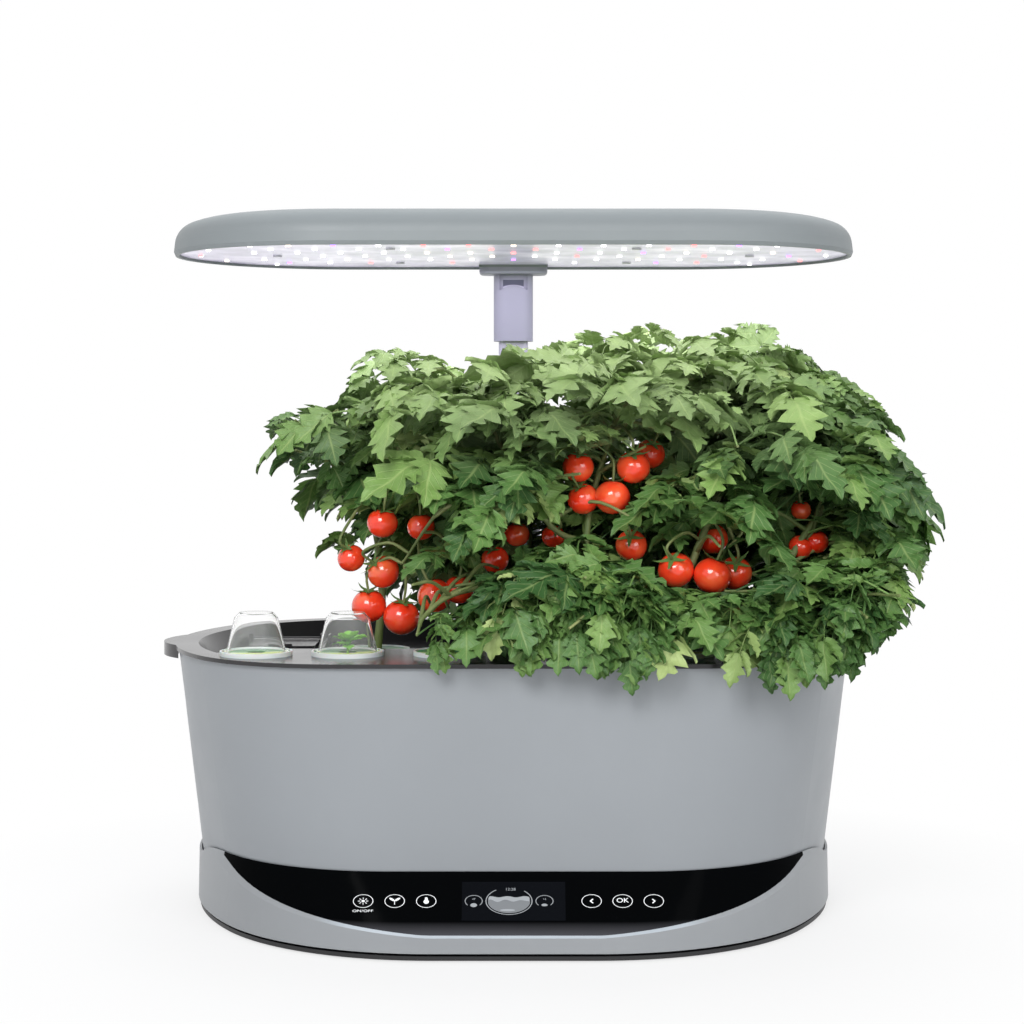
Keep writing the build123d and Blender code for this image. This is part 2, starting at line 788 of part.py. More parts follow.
def hood_section():
    """Half section of the shell: distance from the middle line, and height above the rim."""
    reach = hood_end_radius
    foot = Vector(reach - hood_rim_inset, 0)
    widest = Vector(reach, hood_rim_height)
    side_top = Vector(reach - hood_side[1], hood_side[0])
    brow_x = reach - hood_brow
    sag = hood_crown_radius - (hood_crown_radius**2 - brow_x**2) ** 0.5
    brow = Vector(brow_x, hood_crown - sag)
    along_crown = Vector(-(hood_crown_radius - sag), brow_x).normalized()
    side = Line(widest, side_top)
    edge = two_arcs(side_top, side % 1, brow, along_crown)
    crown = TangentArc(brow, (0, hood_crown), tangent=along_crown)
    inside = Polyline(
        (0, hood_crown),
        (0, hood_crown - hood_wall),
        (brow.X - 2 * hood_wall, brow.Y - hood_wall),
        (brow.X + hood_brow / 2, hood_step),
        (reach - hood_wall, hood_step - 4),
        (reach - hood_wall, 0),
        foot,
    )
    return make_face([Line(foot, widest), side, *edge, crown, inside])


def hood_shell():
    straight = hood_length / 2 - hood_end_radius
    section = hood_section()
    shell = None
    for side in (1, -1):
        centre = Vector(side * straight, hood_centre_y, hood_bottom)
        start = Plane(origin=centre, x_dir=(0, -side, 0), z_dir=(-side, 0, 0)) * section
        end = revolve(start, Axis(centre, (0, 0, 1)), 180)
        half = end + extrude(start, 2 * straight, dir=(-side, 0, 0))
        shell = half if shell is None else shell + half
    shell += rear_block(0, hood_bottom, hood_bottom + hood_step)
    for x, y in hood_boss_places:
        shell += rod(x, y, board_under + board_thickness, hood_bottom + hood_crown - hood_wall, 4.5)
        shell -= rod(x, y, board_under, hood_bottom + hood_step, screw_hole_radius)
    return shell


def hood_layer(inset, z0, z1):
    layer = extrude(stadium(hood_wall + inset, z0), z1 - z0, dir=(0, 0, 1))
    layer -= rear_block(0.4, z0 - 1, z1 + 1)
    for x, y in hood_boss_places:
        layer -= rod(x, y, z0 - 1, z1 + 1, screw_hole_radius + 0.2)
    return layer


def led_places():
    """Rows of emitters across the hood, closer together in the middle rows."""
    places = []
    for row, y in enumerate((-52, -24, 4, 32, 60, 88)):
        half = hood_length / 2 - hood_end_radius
        room = half + (hood_end_radius**2 - (y - hood_centre_y) ** 2) ** 0.5 - 26
        pitch = 27.0
        count = int(room // pitch)
        shift = pitch / 2 if row % 2 else 0
        for i in range(-count, count + 1):
            x = i * pitch + shift
            near_screw = any(hypot(x - sx, y - sy) < 8 for sx, sy in hood_boss_places)
            near_mast = abs(x) < 32 and y > 85
            if abs(x) < room and not near_screw and not near_mast:
                places.append((x, y))
    return places


def led_emitters():
    chip = 3.0
    z0 = panel_under - 0.8
    return Compound(
        children=[
            block(x - chip / 2, x + chip / 2, y - chip / 2, y + chip / 2, z0, panel_under)
            for x, y in led_places()
        ]
    )


def hood_screws():
    head = 1.0
    screws = [screw(x, y, panel_under - head, 2.8, head, 1.3, 8) for x, y in hood_boss_places]
    return Compound(children=screws)


# ---------------------------------------------------------------- plants
plant_sides = 12
# each level of the leaves: height over the deck, middle x, half width, middle y, half depth
lower_levels = (
    (9.0, 84.0, 112.0, -6.0, 92.0),
    (36.0, 80.0, 154.0, -10.0, 112.0),
    (76.0, 60.0, 200.0, -8.0, 122.0),
    (121.0, 50.0, 208.0, -2.0, 120.0),
    (canopy_rise, 50.0, 196.0, 0.0, 114.0),
)
canopy_levels = (
    (canopy_rise, 50.0, 196.0, 0.0, 112.0),
    (171.0, 56.0, 150.0, 2.0, 92.0),
    (192.0, 56.0, 100.0, 4.0, 64.0),
    (204.0, 52.0, 46.0, 6.0, 32.0),
)


def leaf_mass(levels, raise_by=0.0):
    sections = []
    for z, cx, half_x, cy, half_y in levels:
        turns = [radians(360 * (i + 0.5) / plant_sides) for i in range(plant_sides)]
        height = deck_top + z + raise_by
        corners = [(cx + half_x * cos(t), cy + half_y * sin(t), height) for t in turns]
        sections.append(make_face(Polyline(*corners, close=True)))
    return loft(sections, ruled=True)


def planted():
    """The pods that tomato plants grow in."""
    return pod_places()[3:]


def plant_stems():
    """Main stems, from the pods up into the leaves."""
    stems = []
    for x, y, z in planted():
        stems.append(rod(x, y, z - 10, z + 6, stem_radius - stem_fit))
        foot = Vector(x, y, z + 5)
        top = Vector(x + (60 - x) * 0.2, y * 0.8, deck_top + 51)
        along = top - foot
        lean = degrees(atan2(hypot(along.X, along.Y), along.Z))
        heading = degrees(atan2(along.Y, along.X))
        cone = Cone(3.0, 2.4, along.length, align=(Align.CENTER, Align.CENTER, Align.MIN))
        stems.append(Pos(*foot) * Rot(0, 0, heading) * Rot(0, lean, 0) * cone)
    return stems


def behind_mast():
    """Space kept clear of leaves, from just in front of the mast to the rear."""
    return block(-400, 400, mast_y - 28, 200, deck_top - 60, over_all)


def pod_corner():
    """Clear space over the two domed pods: everything past an upright plane beside them."""
    x, y, z = pod_places()[1]
    slab = Pos(-200, 0, z) * Box(400, 800, 2 * z)
    return Pos(x, y) * Rot(0, 0, 60) * Pos(flange_radius + 7, 0) * slab


def tomato_plants():
    mass = leaf_mass(lower_levels) - behind_mast() - pod_corner()
    for stem in plant_stems():
        mass += stem
    return mass


def tomato_canopy():
    return leaf_mass(canopy_levels, raise_by=plant_gap) - behind_mast()


# ---------------------------------------------------------------- assembly
def parts():
    places = pod_places()
    rest_tube_bottom = mast_bottom + 12 + top_travel
    base = whole_base()
    yield "base_shell", base - console_zone()
    yield "console_shell", base & console_zone()
    yield "bottom_cover", bottom_cover()
    yield "control_panel", control_panel()
    yield "display_window", display_window()
    yield "display_module", display_module()
    yield "main_board", main_board()
    yield "power_jack", power_jack()
    yield "rubber_foot", foot_band(0, foot_proud + foot_pocket)
    yield "base_screws", base_screws()
    yield "bowl", bowl()
    yield "pump_housing", pump_housing()
    yield "pump_impeller", pump_impeller()
    yield "pump_cover", pump_cover()
    yield "pump_riser", pump_riser()
    yield "pump_filter", pump_filter()
    deck = whole_deck()
    yield "deck_tray", deck & tray_zone()
    deck -= tray_zone()
    yield "deck_notch_collar", deck & collar_zone()
    yield "grow_deck", deck - collar_zone()
    yield "fill_lid", fill_lid()
    for number, place in enumerate(places, start=1):
        yield f"pod_{number}_basket", basket(*place)
        yield f"pod_{number}_sponge", sponge(*place)
    for number in (1, 2):
        yield f"pod_{number}_label", label(*places[number - 1])
        yield f"pod_{number}_dome", dome(*places[number - 1])
    yield "pod_2_seedling", seedling(*places[1])
    yield "deck_pod_labels", Compound(children=[label(*p) for p in places[2:]])
    yield "tomato_plants", tomato_plants()
    yield "tomato_canopy", tomato_canopy()
    yield "mast_outer_tube", tube(0, mast_bottom, stage_top(0))
    yield "mast_outer_bushing", bushing(0, stage_top(0))
    yield "mast_middle_tube", tube(1, mast_bottom + 6, stage_top(1))
    yield "mast_middle_bushing", bushing(1, stage_top(1))
    yield "mast_inner_tube", tube(2, mast_bottom + 8, stage_top(2))
    yield "mast_inner_bushing", bushing(2, stage_top(2))
    yield "mast_top_tube", tube(3, rest_tube_bottom, top_tube_top)
    yield "hood_sleeve", hood_sleeve()
    yield "hood_shell", hood_shell()
    yield "led_board", hood_layer(0.6, board_under, board_under + board_thickness)
    yield "reflector_panel", hood_layer(0.3, panel_under, board_under)
    yield "led_emitters", led_emitters()
    yield "hood_screws", hood_screws()


if __name__ == "__main__":
    for name, shape in parts():
        export_step(shape, f"parts/{name}.step")
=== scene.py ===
from math import atan2, cos, hypot, pi, radians, sin
from random import Random

import bpy
import numpy as np
from mathutils import Euler, Matrix, Vector


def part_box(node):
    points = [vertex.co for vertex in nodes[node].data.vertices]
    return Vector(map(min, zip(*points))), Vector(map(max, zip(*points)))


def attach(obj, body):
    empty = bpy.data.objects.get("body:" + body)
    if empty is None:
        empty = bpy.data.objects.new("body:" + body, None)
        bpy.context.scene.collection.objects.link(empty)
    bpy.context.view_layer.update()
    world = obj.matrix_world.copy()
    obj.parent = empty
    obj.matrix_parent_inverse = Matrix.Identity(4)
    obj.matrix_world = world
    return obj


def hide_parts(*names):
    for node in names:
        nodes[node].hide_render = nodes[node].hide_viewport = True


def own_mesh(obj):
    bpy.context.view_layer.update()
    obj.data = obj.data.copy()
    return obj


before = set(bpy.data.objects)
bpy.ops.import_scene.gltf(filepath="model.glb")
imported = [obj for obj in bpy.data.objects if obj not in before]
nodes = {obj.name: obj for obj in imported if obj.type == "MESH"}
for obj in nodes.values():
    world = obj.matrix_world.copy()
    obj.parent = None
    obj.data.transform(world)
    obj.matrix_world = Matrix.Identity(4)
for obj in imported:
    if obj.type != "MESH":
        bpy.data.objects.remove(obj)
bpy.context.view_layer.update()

MM = 0.001
UP = Vector((0, 0, 1))


# ---------------------------------------------------------------- hand tools
def clear():
    if bpy.context.mode != "OBJECT":
        bpy.ops.object.mode_set(mode="OBJECT")
    bpy.ops.object.select_all(action="DESELECT")


def take(*pieces):
    clear()
    for piece in pieces:
        piece.select_set(True)
    bpy.context.view_layer.objects.active = pieces[0]
    return pieces[0]


def start(name, primitive, **places):
    """Adds one primitive, alone in the selection, with its place applied."""
    clear()
    primitive(**places)
    piece = bpy.context.object
    piece.name = name
    bpy.ops.object.transform_apply(location=True, rotation=True, scale=True)
    return piece


def pick(piece, test, kind="VERT"):
    """Opens a piece in edit mode with the wanted vertices or faces selected."""
    take(piece)
    bpy.ops.object.mode_set(mode="EDIT")
    bpy.ops.mesh.select_mode(type=kind)
    bpy.ops.mesh.select_all(action="DESELECT")
    bpy.ops.object.mode_set(mode="OBJECT")
    for part in piece.data.vertices if kind == "VERT" else piece.data.polygons:
        part.select = bool(test(part))
    bpy.ops.object.mode_set(mode="EDIT")


def done():
    bpy.ops.object.mode_set(mode="OBJECT")


def reshape(piece, test, scale=None, about=(0, 0, 0), move=None, kind="VERT"):
    """Scales what passes the test about a point, then moves it."""
    pick(piece, test, kind)
    if scale:
        bpy.ops.transform.resize(value=scale, center_override=about)
    if move:
        bpy.ops.transform.translate(value=move)
    done()


def grid(name, columns, rows, size=1, location=(0, 0, 0)):
    cells = {"x_subdivisions": columns, "y_subdivisions": rows}
    return start(name, bpy.ops.mesh.primitive_grid_add, size=size, location=location, **cells)


def copy_of(piece, matrix=None):
    twin = piece.copy()
    twin.data = piece.data.copy()
    bpy.context.scene.collection.objects.link(twin)
    if matrix is not None:
        twin.data.transform(matrix)
    return twin


def joined(name, pieces):
    first = take(*pieces)
    if len(pieces) > 1:
        bpy.ops.object.join()
    first.name = name
    return first


def finish_with(piece, kind, **settings):
    """Adds one modifier and applies it."""
    take(piece)
    modifier = piece.modifiers.new(kind.title(), kind)
    for key, value in settings.items():
        setattr(modifier, key, value)
    bpy.ops.object.modifier_apply(modifier=modifier.name)
    return piece


def smooth(piece, angle=None):
    take(piece)
    if angle is None:
        bpy.ops.object.shade_smooth()
    else:
        bpy.ops.object.shade_smooth_by_angle(angle=radians(angle))
    return piece


def refinish(piece, finish):
    piece.data.materials.clear()
    piece.data.materials.append(finish)


def dress(piece, finish, body, replaced=()):
    """Gives a new piece its finish and its body, and hides the nodes it stands for."""
    refinish(piece, finish)
    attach(piece, body)
    if replaced:
        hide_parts(*replaced)
    return piece


# ---------------------------------------------------------------- finishes
def tone(red, green, blue):
    """A colour given as 0 to 255 shares, made linear."""
    out = []
    for share in (red / 255, green / 255, blue / 255):
        out.append(share / 12.92 if share <= 0.04045 else ((share + 0.055) / 1.055) ** 2.4)
    return (*out, 1.0)


SPARK_GRAIN = 2600
SPARK_HEIGHT = 0.04 * MM


class Growth:
    """A node tree that grows by short calls."""

    def __init__(self, tree):
        self.tree = tree
        self.place = None

    def add(self, kind, **values):
        new = self.tree.nodes.new(kind)
        for key, value in values.items():
            if hasattr(new, key):
                setattr(new, key, value)
            else:
                new.inputs[key.replace("_", " ")].default_value = value
        return new

    def link(self, out, into):
        self.tree.links.new(out, into)

    def where(self):
        if self.place is None:
            self.place = self.add("ShaderNodeTexCoord").outputs["Object"]
        return self.place

    def axes(self, place=None):
        """The X, Y and Z of a coordinate."""
        split = self.add("ShaderNodeSeparateXYZ")
        self.link(place or self.where(), split.inputs[0])
        return split.outputs

    def noise(self, scale, detail=2.0, stretch=None):
        place = self.where()
        if stretch:
            mapping = self.add("ShaderNodeMapping", Scale=stretch)
            self.link(place, mapping.inputs["Vector"])
            place = mapping.outputs["Vector"]
        noise = self.add("ShaderNodeTexNoise", Scale=scale, Detail=detail)
        self.link(place, noise.inputs["Vector"])
        return noise.outputs["Fac"]

    def ramp(self, source, *stops):
        ramp = self.add("ShaderNodeValToRGB")
        table = ramp.color_ramp.elements
        while len(table) < len(stops):
            table.new(0.5)
        for element, (at, colour) in zip(table, stops):
            element.position = at
            element.color = colour
        self.link(source, ramp.inputs["Fac"])
        return ramp.outputs["Color"]

    def span(self, source, low, high, to_low, to_high):
        limits = {"From_Min": low, "From_Max": high, "To_Min": to_low, "To_Max": to_high}
        span = self.add("ShaderNodeMapRange", **limits)
        self.link(source, span.inputs["Value"])
        return span.outputs["Result"]

    def feed(self, socket, value):
        """Sets a constant on a socket, or links another node's output to it."""
        if isinstance(value, (int, float, tuple)):
            socket.default_value = value
        else:
            self.link(value, socket)

    def maths(self, operation, first, second=0.0):
        node = self.add("ShaderNodeMath", operation=operation)
        self.feed(node.inputs[0], first)
        self.feed(node.inputs[1], second)
        return node.outputs[0]

    def mix(self, share, first, second, blend="MIX"):
        """Mixes two colours; of a Mix node's sockets 0, 6 and 7 are its share and its colours."""
        node = self.add("ShaderNodeMix", data_type="RGBA", blend_type=blend)
        for socket, value in ((0, share), (6, first), (7, second)):
            self.feed(node.inputs[socket], value)
        return node.outputs[2]

    def blend(self, share, first, second, output):
        """Mixes two shaders into a tree's output node."""
        node = self.add("ShaderNodeMixShader")
        for source, socket in zip((share, first, second), node.inputs):
            self.link(source, socket)
        self.link(node.outputs[0], output.inputs["Surface"])


class Finish(Growth):
    """A node material that grows around one Principled shader."""

    def __init__(self, name, colour, roughness, **sockets):
        self.material = bpy.data.materials.new(name)
        self.material.use_nodes = True
        super().__init__(self.material.node_tree)
        self.shader = self.tree.nodes["Principled BSDF"]
        self.set("Base Color", colour)
        self.set("Roughness", roughness)
        for key, value in sockets.items():
            self.set(key.replace("_", " "), value)

    def set(self, socket, value):
        self.shader.inputs[socket].default_value = value

    def bump(self, height, strength, distance):
        bump = self.add("ShaderNodeBump", Strength=strength, Distance=distance)
        self.link(height, bump.inputs["Height"])
        self.link(bump.outputs["Normal"], self.shader.inputs["Normal"])

    def spark(self, grain=SPARK_GRAIN, depth=0.25):
        """The fine spark-eroded texture of a plastic mould."""
        self.bump(self.noise(grain, 2), depth, SPARK_HEIGHT)

    def handled(self, low, high):
        """Gloss that wanders between two values, as handling leaves it."""
        self.into("Roughness", self.span(self.noise(38, 4), 0.3, 0.7, low, high))

    def into(self, socket, source):
        self.link(source, self.shader.inputs[socket])


def shade(colour, factor):
    return (*(value * factor for value in colour[:3]), 1.0)


def moulded(name, colour, roughness, grain=SPARK_GRAIN, depth=0.25, mottle=0.03, **sockets):
    """Moulded plastic: a spark texture, faint flow mottling and handling marks in its gloss."""
    f = Finish(name, colour, roughness, **sockets)
    darker, lighter = shade(colour, 1 - mottle), shade(colour, 1 + mottle)
    f.into("Base Color", f.ramp(f.noise(9, 3), (0.3, darker), (0.7, lighter)))
    f.handled(roughness * 0.9, roughness * 1.1)
    f.spark(grain, depth)
    return f.material


grey_shell = moulded("grey_shell", tone(143, 147, 151), 0.42)
deck_satin = moulded("deck_satin", tone(38, 37, 39), 0.2, grain=1800, mottle=0.06)
inner_black = moulded("inner_black", tone(26, 26, 28), 0.5)
foot_rubber = moulded("foot_rubber", tone(16, 16, 17), 0.72, grain=900, depth=0.5)
glass_black = moulded(
    "glass_black", tone(12, 14, 18), 0.08, depth=0.0, mottle=0.1, Specular_IOR_Level=0.02
)
pump_plastic = moulded("pump_plastic", tone(38, 84, 140), 0.4)
foam_finish = moulded("foam_finish", tone(44, 46, 50), 0.95, grain=700, depth=1.0, mottle=0.3)
basket_white = moulded(
    "basket_white", tone(228, 232, 230), 0.34, Subsurface_Weight=0.2, Subsurface_Scale=0.003
)
MAST_TONE = tone(180, 177, 194)
mast_satin = moulded("mast_satin", MAST_TONE, 0.45)
sleeve_satin = moulded("sleeve_satin", tone(150, 149, 166), 0.5)
lens_clip = moulded("lens_clip", tone(196, 194, 204), 0.35)
steel = moulded("steel", tone(160, 160, 162), 0.3, Metallic=1.0)
board_green = moulded("board_green", tone(22, 72, 44), 0.5)


def console_finish():
    """The grey shell, with a painted highlight on the narrow lip round the black face."""
    f = Finish("console_grey", tone(144, 147, 150), 0.42)
    body = f.ramp(f.noise(9, 3), (0.3, tone(141, 144, 147)), (0.7, tone(147, 150, 153)))
    _, _, upward = f.axes(f.add("ShaderNodeTexCoord").outputs["Normal"])
    off_wall, off_top = f.span(upward, 0.40, 0.46, 0.0, 1.0), f.span(upward, 0.68, 0.78, 1.0, 0.0)
    lip_highlight = f.maths("MULTIPLY", off_wall, off_top)
    # painted highlight: faces that slope up and forward, as the lip's do, turn a lighter blue-grey
    f.into("Base Color", f.mix(lip_highlight, body, tone(168, 176, 184)))
    f.spark()
    return f.material


def top_tube_finish():
    """The lamp's tube, in shade above the rounded tip that shows in the sleeve's window."""
    tip_half_width, tip_height, tip_top = 0.0118, 0.0035, 0.3913
    f = Finish("top_tube_satin", MAST_TONE, 0.45)
    x, _, z = f.axes()
    aside = f.maths("POWER", f.maths("MULTIPLY", x, 1 / tip_half_width), 2.0)
    over_tip = f.maths("ADD", z, f.maths("MULTIPLY", aside, tip_height))
    shaded = f.span(over_tip, tip_top, tip_top + 0.0006, 0.0, 1.0)
    f.into("Base Color", f.mix(shaded, MAST_TONE, tone(84, 86, 104)))
    f.spark()
    return f.material


def panel_finish():
    """Piano black, with a painted soft grey reflection where the face rolls over at its lower edge.
    """
    f = Finish("panel_gloss", tone(4, 5, 5), 0.10, Specular_IOR_Level=0.006)
    _, _, z = f.axes()
    # painted reflection: the strip where the face rolls over is turned soft grey
    roll = f.span(z, 0.0150, 0.0215, 1.0, 0.0)
    f.into("Base Color", f.mix(roll, tone(5, 6, 7), tone(72, 72, 76)))
    f.handled(0.08, 0.13)
    return f.material


def sponge_finish():
    """Dark open peat foam."""
    f = Finish("sponge_peat", tone(58, 36, 24), 0.95)
    crumbs = f.ramp(f.noise(700, 4), (0.35, tone(30, 18, 12)), (0.65, tone(84, 56, 38)))
    f.into("Base Color", crumbs)
    f.bump(f.noise(1400, 3), 0.9, 0.6 * MM)
    return f.material


def clear_finish():
    """Thin clear plastic that lets lamps shine through."""
    f = Finish("clear_dome", (1, 1, 1, 1), 0.03, Transmission_Weight=0.95, IOR=1.1)
    path = f.add("ShaderNodeLightPath")
    passes = f.maths("MAXIMUM", path.outputs["Is Shadow Ray"], path.outputs["Is Diffuse Ray"])
    open_air = f.add("ShaderNodeBsdfTransparent").outputs[0]
    f.blend(passes, f.shader.outputs[0], open_air, f.tree.nodes["Material Output"])
    return f.material


def hood_finish():
    """Moulded grey plastic, with painted light making the crown a shade paler than the rounded
    edge.
    """
    side = tone(128, 134, 136)
    f = Finish("grey_hood", side, 0.46, Specular_IOR_Level=0.35)
    _, _, z = f.axes()
    # painted light: the crown, above the rounded edge, is made paler as if lit from above
    grey = f.mix(f.span(z, 0.4165, 0.4265, 0.0, 1.0), side, tone(149, 156, 159))
    mottle = f.span(f.noise(9, 3), 0.3, 0.7, 0.97, 1.03)
    f.into("Base Color", f.mix(1.0, grey, mottle, "MULTIPLY"))
    f.handled(0.414, 0.506)
    f.spark()
    return f.material


CHIP_CELL = 13.5 * MM  # half the pitch of the chips, so that each has one colour


def led_finish():
    """Chips in white, warm white, red and violet, by their place on the board."""
    f = Finish("led_chip", tone(255, 255, 255), 0.4, Emission_Strength=2.6)
    moved = f.add("ShaderNodeVectorMath", operation="ADD")
    f.link(f.where(), moved.inputs[0])
    moved.inputs[1].default_value = (CHIP_CELL / 2, 0.0, 0.0)
    snap = f.add("ShaderNodeVectorMath", operation="SNAP")
    f.link(moved.outputs[0], snap.inputs[0])
    snap.inputs[1].default_value = (CHIP_CELL, CHIP_CELL, 1.0)
    lot = f.add("ShaderNodeTexWhiteNoise")
    f.link(snap.outputs[0], lot.inputs["Vector"])
    colour = f.ramp(
        lot.outputs["Value"],
        (0.0, tone(255, 255, 255)),
        (0.34, tone(255, 236, 214)),
        (0.50, tone(255, 120, 120)),
        (0.68, tone(170, 120, 255)),
        (0.84, tone(255, 255, 255)),
    )
    f.tree.nodes["Color Ramp"].color_ramp.interpolation = "CONSTANT"
    f.into("Base Color", colour)
    f.into("Emission Color", colour)
    return f.material


def reflector_finish():
    """Glossy white cover with a painted glow in white and violet patches around the chips, standing
    in for their light on it.
    """
    # painted light: the cover glows as if lit by the chips
    f = Finish("reflector_gloss", tone(220, 214, 226), 0.22, Emission_Strength=0.30)
    f.into(
        "Emission Color",
        f.ramp(
            f.noise(34, 3),
            (0.36, tone(120, 112, 150)),
            (0.52, tone(176, 168, 204)),
            (0.68, tone(236, 226, 250)),
        ),
    )
    cover = f.ramp(f.noise(16, 2), (0.35, tone(206, 200, 216)), (0.65, tone(226, 222, 234)))
    f.into("Base Color", cover)
    return f.material


console_grey = console_finish()
panel_gloss = panel_finish()
top_tube_satin = top_tube_finish()
sponge_peat = sponge_finish()
clear_dome = clear_finish()
led_chip = led_finish()
grey_hood = hood_finish()
reflector_gloss = reflector_finish()

for finish, names in (
    (console_grey, ("base_shell", "console_shell")),
    (grey_shell, ("bowl",)),
    (grey_hood, ("hood_shell",)),
    (inner_black, ("bottom_cover", "display_module", "power_jack", "pump_riser")),
    (inner_black, ("mast_outer_bushing", "mast_middle_bushing", "mast_inner_bushing")),
    (panel_gloss, ("control_panel",)),
    (glass_black, ("display_window",)),
    (board_green, ("main_board", "led_board")),
    (foot_rubber, ("rubber_foot",)),
    (steel, ("base_screws",)),
    (pump_plastic, ("pump_housing", "pump_cover")),
    (basket_white, ("pump_impeller",)),
    (foam_finish, ("pump_filter",)),
    (deck_satin, ("grow_deck", "deck_tray", "deck_notch_collar", "fill_lid")),
    (mast_satin, ("mast_outer_tube", "mast_middle_tube", "mast_inner_tube")),
    (top_tube_satin, ("mast_top_tube",)),
    (sleeve_satin, ("hood_sleeve",)),
    (reflector_gloss, ("reflector_panel",)),
    (led_chip, ("led_emitters",)),
    (lens_clip, ("hood_screws",)),
):
    for name in names:
        refinish(nodes[name], finish)

POD_FINISHES = {"_basket": basket_white, "_sponge": sponge_peat, "_dome": clear_dome}
for name, node in nodes.items():
    for ending, finish in POD_FINISHES.items():
        if name.endswith(ending):
            refinish(node, finish)


# ---------------------------------------------------------------- lens faces at the lamp's ends
LAMP_MIDDLE_Y = 28 * MM
LAMP_STRAIGHT = 107.5 * MM
CHIP_RING = 91 * MM
CHIP_SIZE = 3.0 * MM


def end_chip():
    """One square lens face with its lower edge eased."""
    piece = start("chip", bpy.ops.mesh.primitive_cube_add, size=CHIP_SIZE)
    reshape(piece, lambda v: True, scale=(1, 1, 0.3))
    reshape(piece, lambda f: f.normal.z < -0.9, scale=(0.7, 0.7, 1), kind="FACE")
    return piece


chip_low, chip_high = (corner[2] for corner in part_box("led_emitters"))
chip_master = end_chip()
end_chips = []
for side in (-1, 1):
    for turn in (-56, -28, 0, 28, 56):
        x = side * (LAMP_STRAIGHT + CHIP_RING * cos(radians(turn)))
        y = LAMP_MIDDLE_Y + CHIP_RING * sin(radians(turn))
        place = (x, y, (chip_low + chip_high) / 2)
        end_chips.append(copy_of(chip_master, Matrix.Translation(place)))
bpy.data.objects.remove(chip_master)
dress(joined("end_lens_faces", end_chips), led_chip, "lamp")


# ---------------------------------------------------------------- console marks
PANEL_UP = Vector((0.0, 0.563962, 0.825801))
PANEL_OUT = Vector((0.0, -0.825801, 0.563962))
PANEL_MIDDLE = Vector((0.0, -138.556, 31.548)) * MM


def on_panel(lift):
    """Local X to the right, local Y up the slope, in millimetres, lifted off the face."""
    place = PANEL_MIDDLE + PANEL_OUT * lift * MM
    axes = (Vector((1, 0, 0)), PANEL_UP, PANEL_OUT)
    return Matrix([*([axis[i] * MM for axis in axes] + [place[i]] for i in range(3)), [0, 0, 0, 1]])


KEY_SQUEEZE = 0.69  # the printed rings are wider than they are tall
GAUGE_SQUEEZE = 0.61


def flat_disc(name, radius, sides):
    return start(
        name, bpy.ops.mesh.primitive_circle_add, vertices=sides, radius=radius, fill_type="NGON"
    )


def hollow(piece, width):
    """Leaves a rim of a flat disc."""
    pick(piece, lambda f: True, "FACE")
    bpy.ops.mesh.inset(thickness=width)
    bpy.ops.mesh.delete(type="FACE")
    done()


def placed_mark(piece, x, y, squeeze=1.0):
    piece.data.transform(Matrix.Translation((x, y, 0)) @ Matrix.Diagonal((1, squeeze, 1, 1)))
    return piece


def ring_mark(x, y, radius, width, squeeze=1.0, gap=None, sides=56):
    """A printed ring; gap gives the heading of its opening and half its width, in degrees."""
    piece = flat_disc("ring", radius, sides)
    hollow(piece, width)
    if gap:
        way, half = radians(gap[0]), radians(gap[1])
        heading = Vector((cos(way), sin(way)))
        pick(piece, lambda f: heading.angle(f.center.to_2d()) < half, "FACE")
        bpy.ops.mesh.delete(type="FACE")
        done()
    return placed_mark(piece, x, y, squeeze)


def disc_mark(x, y, radius, sides=32, squeeze=1.0):
    return placed_mark(flat_disc("disc", radius, sides), x, y, squeeze)


def bar_mark(x0, y0, x1, y1, width):
    length = hypot(x1 - x0, y1 - y0)
    bar = start("bar", bpy.ops.mesh.primitive_plane_add, size=1)
    place = Matrix.Translation(((x0 + x1) / 2, (y0 + y1) / 2, 0))
    turn = Matrix.Rotation(atan2(y1 - y0, x1 - x0), 4, "Z")
    bar.data.transform(place @ turn @ Matrix.Diagonal((length, width, 1, 1)))
    return bar


def word_mark(words, x, y, height, squeeze=0.8):
    clear()
    bpy.ops.object.text_add()
    piece = bpy.context.object
    piece.data.body = words
    piece.data.size = height * 1.4
    piece.data.align_x = "CENTER"
    piece.data.align_y = "CENTER"
    piece.data.resolution_u = 4
    bpy.ops.object.convert(target="MESH")
    return placed_mark(bpy.context.object, x, y, squeeze)


WAVE_COLUMNS = 40


def wave_mark(half_width, low, high):
    """A band with a shaped lower and upper edge, given as heights over its own middle."""
    piece = grid("wave", WAVE_COLUMNS, 1)
    for column in range(WAVE_COLUMNS + 1):
        share = column / WAVE_COLUMNS
        x = half_width * (2 * column / WAVE_COLUMNS - 1)
        for row, edge in ((0, low), (1, high)):
            move = (x - (share - 0.5), edge(x) - (row - 0.5), 0)
            reshape(piece, lambda v: v.index == column + row * (WAVE_COLUMNS + 1), move=move)
    return piece


def sun_mark(x):
    rays = [disc_mark(x, 0, 0.95, squeeze=KEY_SQUEEZE)]
    for turn in range(8):
        a = pi * turn / 4
        along, up = cos(a), sin(a) * KEY_SQUEEZE
        rays.append(bar_mark(x + 1.6 * along, 1.6 * up, x + 2.9 * along, 2.9 * up, 0.36))
    return rays


def sprout_mark(x):
    marks = [bar_mark(x, -2.1, x, 0.5, 0.42)]
    for side in (-1, 1):
        leaf = disc_mark(0, 0, 1.0, 20)
        place = Matrix.Translation((x + side * 1.5, 0.95, 0))
        turn = Matrix.Rotation(side * 0.5, 4, "Z")
        leaf.data.transform(place @ turn @ Matrix.Diagonal((1.7, 0.62, 1, 1)))
        marks.append(leaf)
    return marks


def drop_mark(x):
    drop = disc_mark(0, 0, 1.5, 28)
    reshape(drop, lambda v: v.co.y > 1.3, move=(0, 1.7, 0))
    return [placed_mark(drop, x, -0.4, 0.8)]


